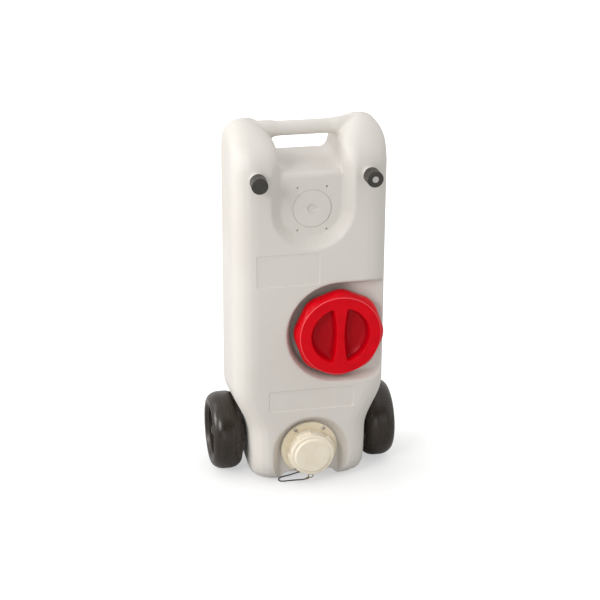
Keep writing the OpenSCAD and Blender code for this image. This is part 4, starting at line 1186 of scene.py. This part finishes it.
def make_wheels():
    """Two moulded wheels with round shoulders, a dished outer side, a rim step and a hub."""
    sizes = bpy.context.scene.tote_wheels
    plastic = shared(moulded_wheel_polyethylene)
    low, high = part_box("right_wheel")
    inner, outer = low[0], high[0]
    radius = half_height("right_wheel")
    bore = sizes.axle_radius + 0.00008
    hub = sizes.hub_radius
    rim = sizes.rim_radius
    dish = outer - sizes.dish_depth
    behind = inner + sizes.back_depth
    shoulders = []
    for start, base in ((-90, inner + sizes.round_width), (0, outer - sizes.round_width)):
        for k in range(19):
            a = math.radians(start + 5 * k)
            shoulders.append(Vector((radius - sizes.round_height * (1 - math.cos(a)),
                                     base + sizes.round_width * math.sin(a))))
    # The outer shoulder ends a little before its crest, and the lip rolls in from there to the dish
    shoulders = shoulders[:-2]
    crest = shoulders.pop()
    back = rounded([(bore, inner, 0), (hub, inner, 0.0012), (hub, behind, 0.004),
                    (sizes.dish_radius, behind, 0.005), (sizes.lip_radius - 0.002, inner + 0.005, 0.002),
                    (sizes.lip_radius, inner, 0)])
    front = rounded([(crest.x, crest.y, 0), (rim + 0.004, outer - 0.0012, 0.004),
                     (rim, outer - 0.007, 0.003), (rim - 0.0014, outer - 0.0074, 0.001),
                     (rim - 0.004, dish, 0.006), (hub + 0.001, dish, 0.004),
                     (hub, outer - sizes.hub_sunk, 0.0015), (bore, outer - sizes.hub_sunk, 0)])
    profile = back + shoulders + front
    for side in MIRROR:
        node = side + "_wheel"
        turned(node + "_moulding", profile, 144, on_axle(side), plastic, node, (node,), True,
               45.0)


def make_axle():
    """The steel axle, its thrust washers and its push-on caps."""
    sizes = bpy.context.scene.tote_wheels
    steel = shared(zinc_plated_steel)
    plastic = shared(moulded_wheel_polyethylene)
    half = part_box("axle")[1][0]
    thin = sizes.axle_radius
    rod = rounded([(0, -half, 0), (thin, -half, 0.001), (thin, half, 0.001), (0, half, 0)])
    turned("axle_rod", rod, 48, on_axle("right"), steel, "tank", ("axle",))
    hole = thin + 0.00015
    for side in MIRROR:
        node = side + "_washer"
        near, far = sorted(abs(corner[0]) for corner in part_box(node))
        outline = ring_outline(hole, half_height(node), near, far, 0.0004)
        turned(node + "_ring", outline, 64, on_axle(side), steel, "tank", (node,), True)
        node = side + "_axle_cap"
        near, far = sorted(abs(corner[0]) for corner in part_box(node))
        wide = half_height(node)
        outline = rounded([
            (0, half + 0.0002, 0), (hole, half + 0.0002, 0), (hole, near, 0.0004),
            (wide - 0.001, near, 0.0006), (wide, near + 0.0016, 0.001), (wide - 0.0006, far - 0.003, 0.003),
            (0.45 * wide, far, 0.004), (0, far, 0)])
        turned(node + "_moulding", outline, 64, on_axle(side), plastic, "tank", (node,))


def make_vents():
    """Two fluted vent caps with their seals, and the pale plug in the right one."""
    sizes = bpy.context.scene.tote_vents
    plastic = shared(injected_polypropylene, "dark_grey_polypropylene", sizes.colour, sizes.shade, 0.32)
    pale = shared(injected_polypropylene, "pale_grey_polypropylene", sizes.insert, srgb("#AEABA6"), 0.4)
    rubber = shared(moulded_rubber)
    wide, base, face, plug = sizes.radius, sizes.base, sizes.face, sizes.insert_radius
    inner = sizes.neck_radius + SLIDE
    seal_low = base + sizes.neck_length + FIT
    seal_high = seal_low + sizes.seal_thick
    ceiling = seal_high + FIT
    seats = {
        "left": [(0, face - 0.0004, 0), (0.011, face - 0.0004, 0.0003), (0.0116, face, 0.0003)],
        "right": [(0, face - 0.003, 0), (plug + 0.00015, face - 0.003, 0),
                  (plug + 0.00015, face - 0.0004, 0.0003), (plug + 0.0006, face, 0.0003)],
    }
    for side, seat in seats.items():
        profile = rounded(seat + [
            (wide - 0.0009, face, 0.001), (wide, face - 0.0014, 0.001), (wide, face - 0.004, 0),
            (wide, base + 0.004, 0), (wide, base + 0.0018, 0), (wide, base, 0.0006), (inner, base, 0.0006),
            (inner, ceiling, 0.0005), (0, ceiling, 0)])
        bm = bmesh.new()
        # Flutes run between a plain band at the foot and the face's round edge
        for vert in spun(bm, profile, 8 * sizes.flutes):
            radius = math.hypot(vert.co.x, vert.co.y)
            if radius > wide - 0.0003 and base + 0.0016 < vert.co.z < face - 0.0018:
                groove = 0.5 - 0.5 * math.cos(sizes.flutes * math.atan2(vert.co.y, vert.co.x))
                to_radius(vert, radius - sizes.flute_depth * groove ** 1.5)
        node = side + "_vent_cap"
        piece(node + "_moulding", bm, on_vent(side), plastic, node, (node,), 38.0)
        node = side + "_vent_seal"
        bore = bpy.context.scene.tote_tank.vent_bore + FIT
        outline = ring_outline(bore, sizes.neck_radius, seal_low, seal_high, 0.0004)
        turned(node + "_ring", outline, 64, on_vent(side), rubber, node, (node,), True)
    top = face - 0.0004
    outline = rounded([(0, face - 0.003, 0), (plug, face - 0.003, 0.0003), (plug, top, 0.0006),
                       (0.0022, top, 0.0004), (0.0016, top - 0.0008, 0.0003), (0, top - 0.0008, 0)])
    turned("vent_insert_plug", outline, 64, on_vent("right"), pale, "right_vent_cap",
           ("vent_insert",))


class StageOperator(bpy.types.Operator):
    """Sets up the camera, the lamps, the white surroundings and the floor"""
    bl_idname = "tote.stage"
    bl_label = "Stage"

    def execute(self, context):
        make_stage()
        return {"FINISHED"}


class TetherOperator(bpy.types.Operator):
    """Makes the tether with its stop, sleeve and ring"""
    bl_idname = "tote.tether"
    bl_label = "Tether"

    def execute(self, context):
        make_tether()
        return {"FINISHED"}


class TankOperator(bpy.types.Operator):
    """Makes the moulded tank"""
    bl_idname = "tote.tank"
    bl_label = "Tank"

    def execute(self, context):
        make_tank()
        return {"FINISHED"}


class CapOperator(bpy.types.Operator):
    """Makes the inlet's screw cap and its seal"""
    bl_idname = "tote.cap"
    bl_label = "Screw cap"

    def execute(self, context):
        make_cap()
        return {"FINISHED"}


class DrainOperator(bpy.types.Operator):
    """Makes the drain's flange, gasket and screws"""
    bl_idname = "tote.drain"
    bl_label = "Drain flange"

    def execute(self, context):
        make_drain()
        return {"FINISHED"}


class DrainCapOperator(bpy.types.Operator):
    """Makes the drain's bayonet cap and its seal"""
    bl_idname = "tote.drain_cap"
    bl_label = "Drain cap"

    def execute(self, context):
        make_drain_cap()
        return {"FINISHED"}


class WheelsOperator(bpy.types.Operator):
    """Makes both wheels"""
    bl_idname = "tote.wheels"
    bl_label = "Wheels"

    def execute(self, context):
        make_wheels()
        return {"FINISHED"}


class AxleOperator(bpy.types.Operator):
    """Makes the axle, its washers and its push-on caps"""
    bl_idname = "tote.axle"
    bl_label = "Axle"

    def execute(self, context):
        make_axle()
        return {"FINISHED"}


class VentsOperator(bpy.types.Operator):
    """Makes the vent caps, their seals and the pale plug"""
    bl_idname = "tote.vents"
    bl_label = "Vents"

    def execute(self, context):
        make_vents()
        return {"FINISHED"}


class TotePanel(bpy.types.Panel):
    """Lists the tote's pieces"""
    bl_idname = "VIEW3D_PT_tote"
    bl_label = "Waste tote"
    bl_space_type = "VIEW_3D"
    bl_region_type = "UI"
    bl_category = "Tote"

    def draw(self, context):
        for operator in OPERATORS:
            self.layout.operator(operator.bl_idname)


GROUPS = {
    "tote_stage": ToteStage,
    "tote_tank": ToteTank,
    "tote_cap": ToteCap,
    "tote_drain": ToteDrain,
    "tote_wheels": ToteWheels,
    "tote_vents": ToteVents,
    "tote_tether": ToteTether,
}
OPERATORS = (StageOperator, TetherOperator, TankOperator, CapOperator, DrainOperator, DrainCapOperator,
             WheelsOperator, AxleOperator, VentsOperator)


def register():
    """Registers the sizes, the operators and the panel."""
    for name, group in GROUPS.items():
        bpy.utils.register_class(group)
        setattr(bpy.types.Scene, name, bpy.props.PointerProperty(type=group))
    for operator in OPERATORS:
        bpy.utils.register_class(operator)
    bpy.utils.register_class(TotePanel)


def unregister():
    """Takes back what register did."""
    bpy.utils.unregister_class(TotePanel)
    for operator in reversed(OPERATORS):
        bpy.utils.unregister_class(operator)
    for name, group in reversed(GROUPS.items()):
        delattr(bpy.types.Scene, name)
        bpy.utils.unregister_class(group)


def main():
    """Makes every piece in order."""
    register()
    bpy.ops.tote.stage()
    bpy.ops.tote.tether()
    bpy.ops.tote.tank()
    bpy.ops.tote.cap()
    bpy.ops.tote.drain()
    bpy.ops.tote.drain_cap()
    bpy.ops.tote.wheels()
    bpy.ops.tote.axle()
    bpy.ops.tote.vents()


if __name__ == "__main__":
    main()
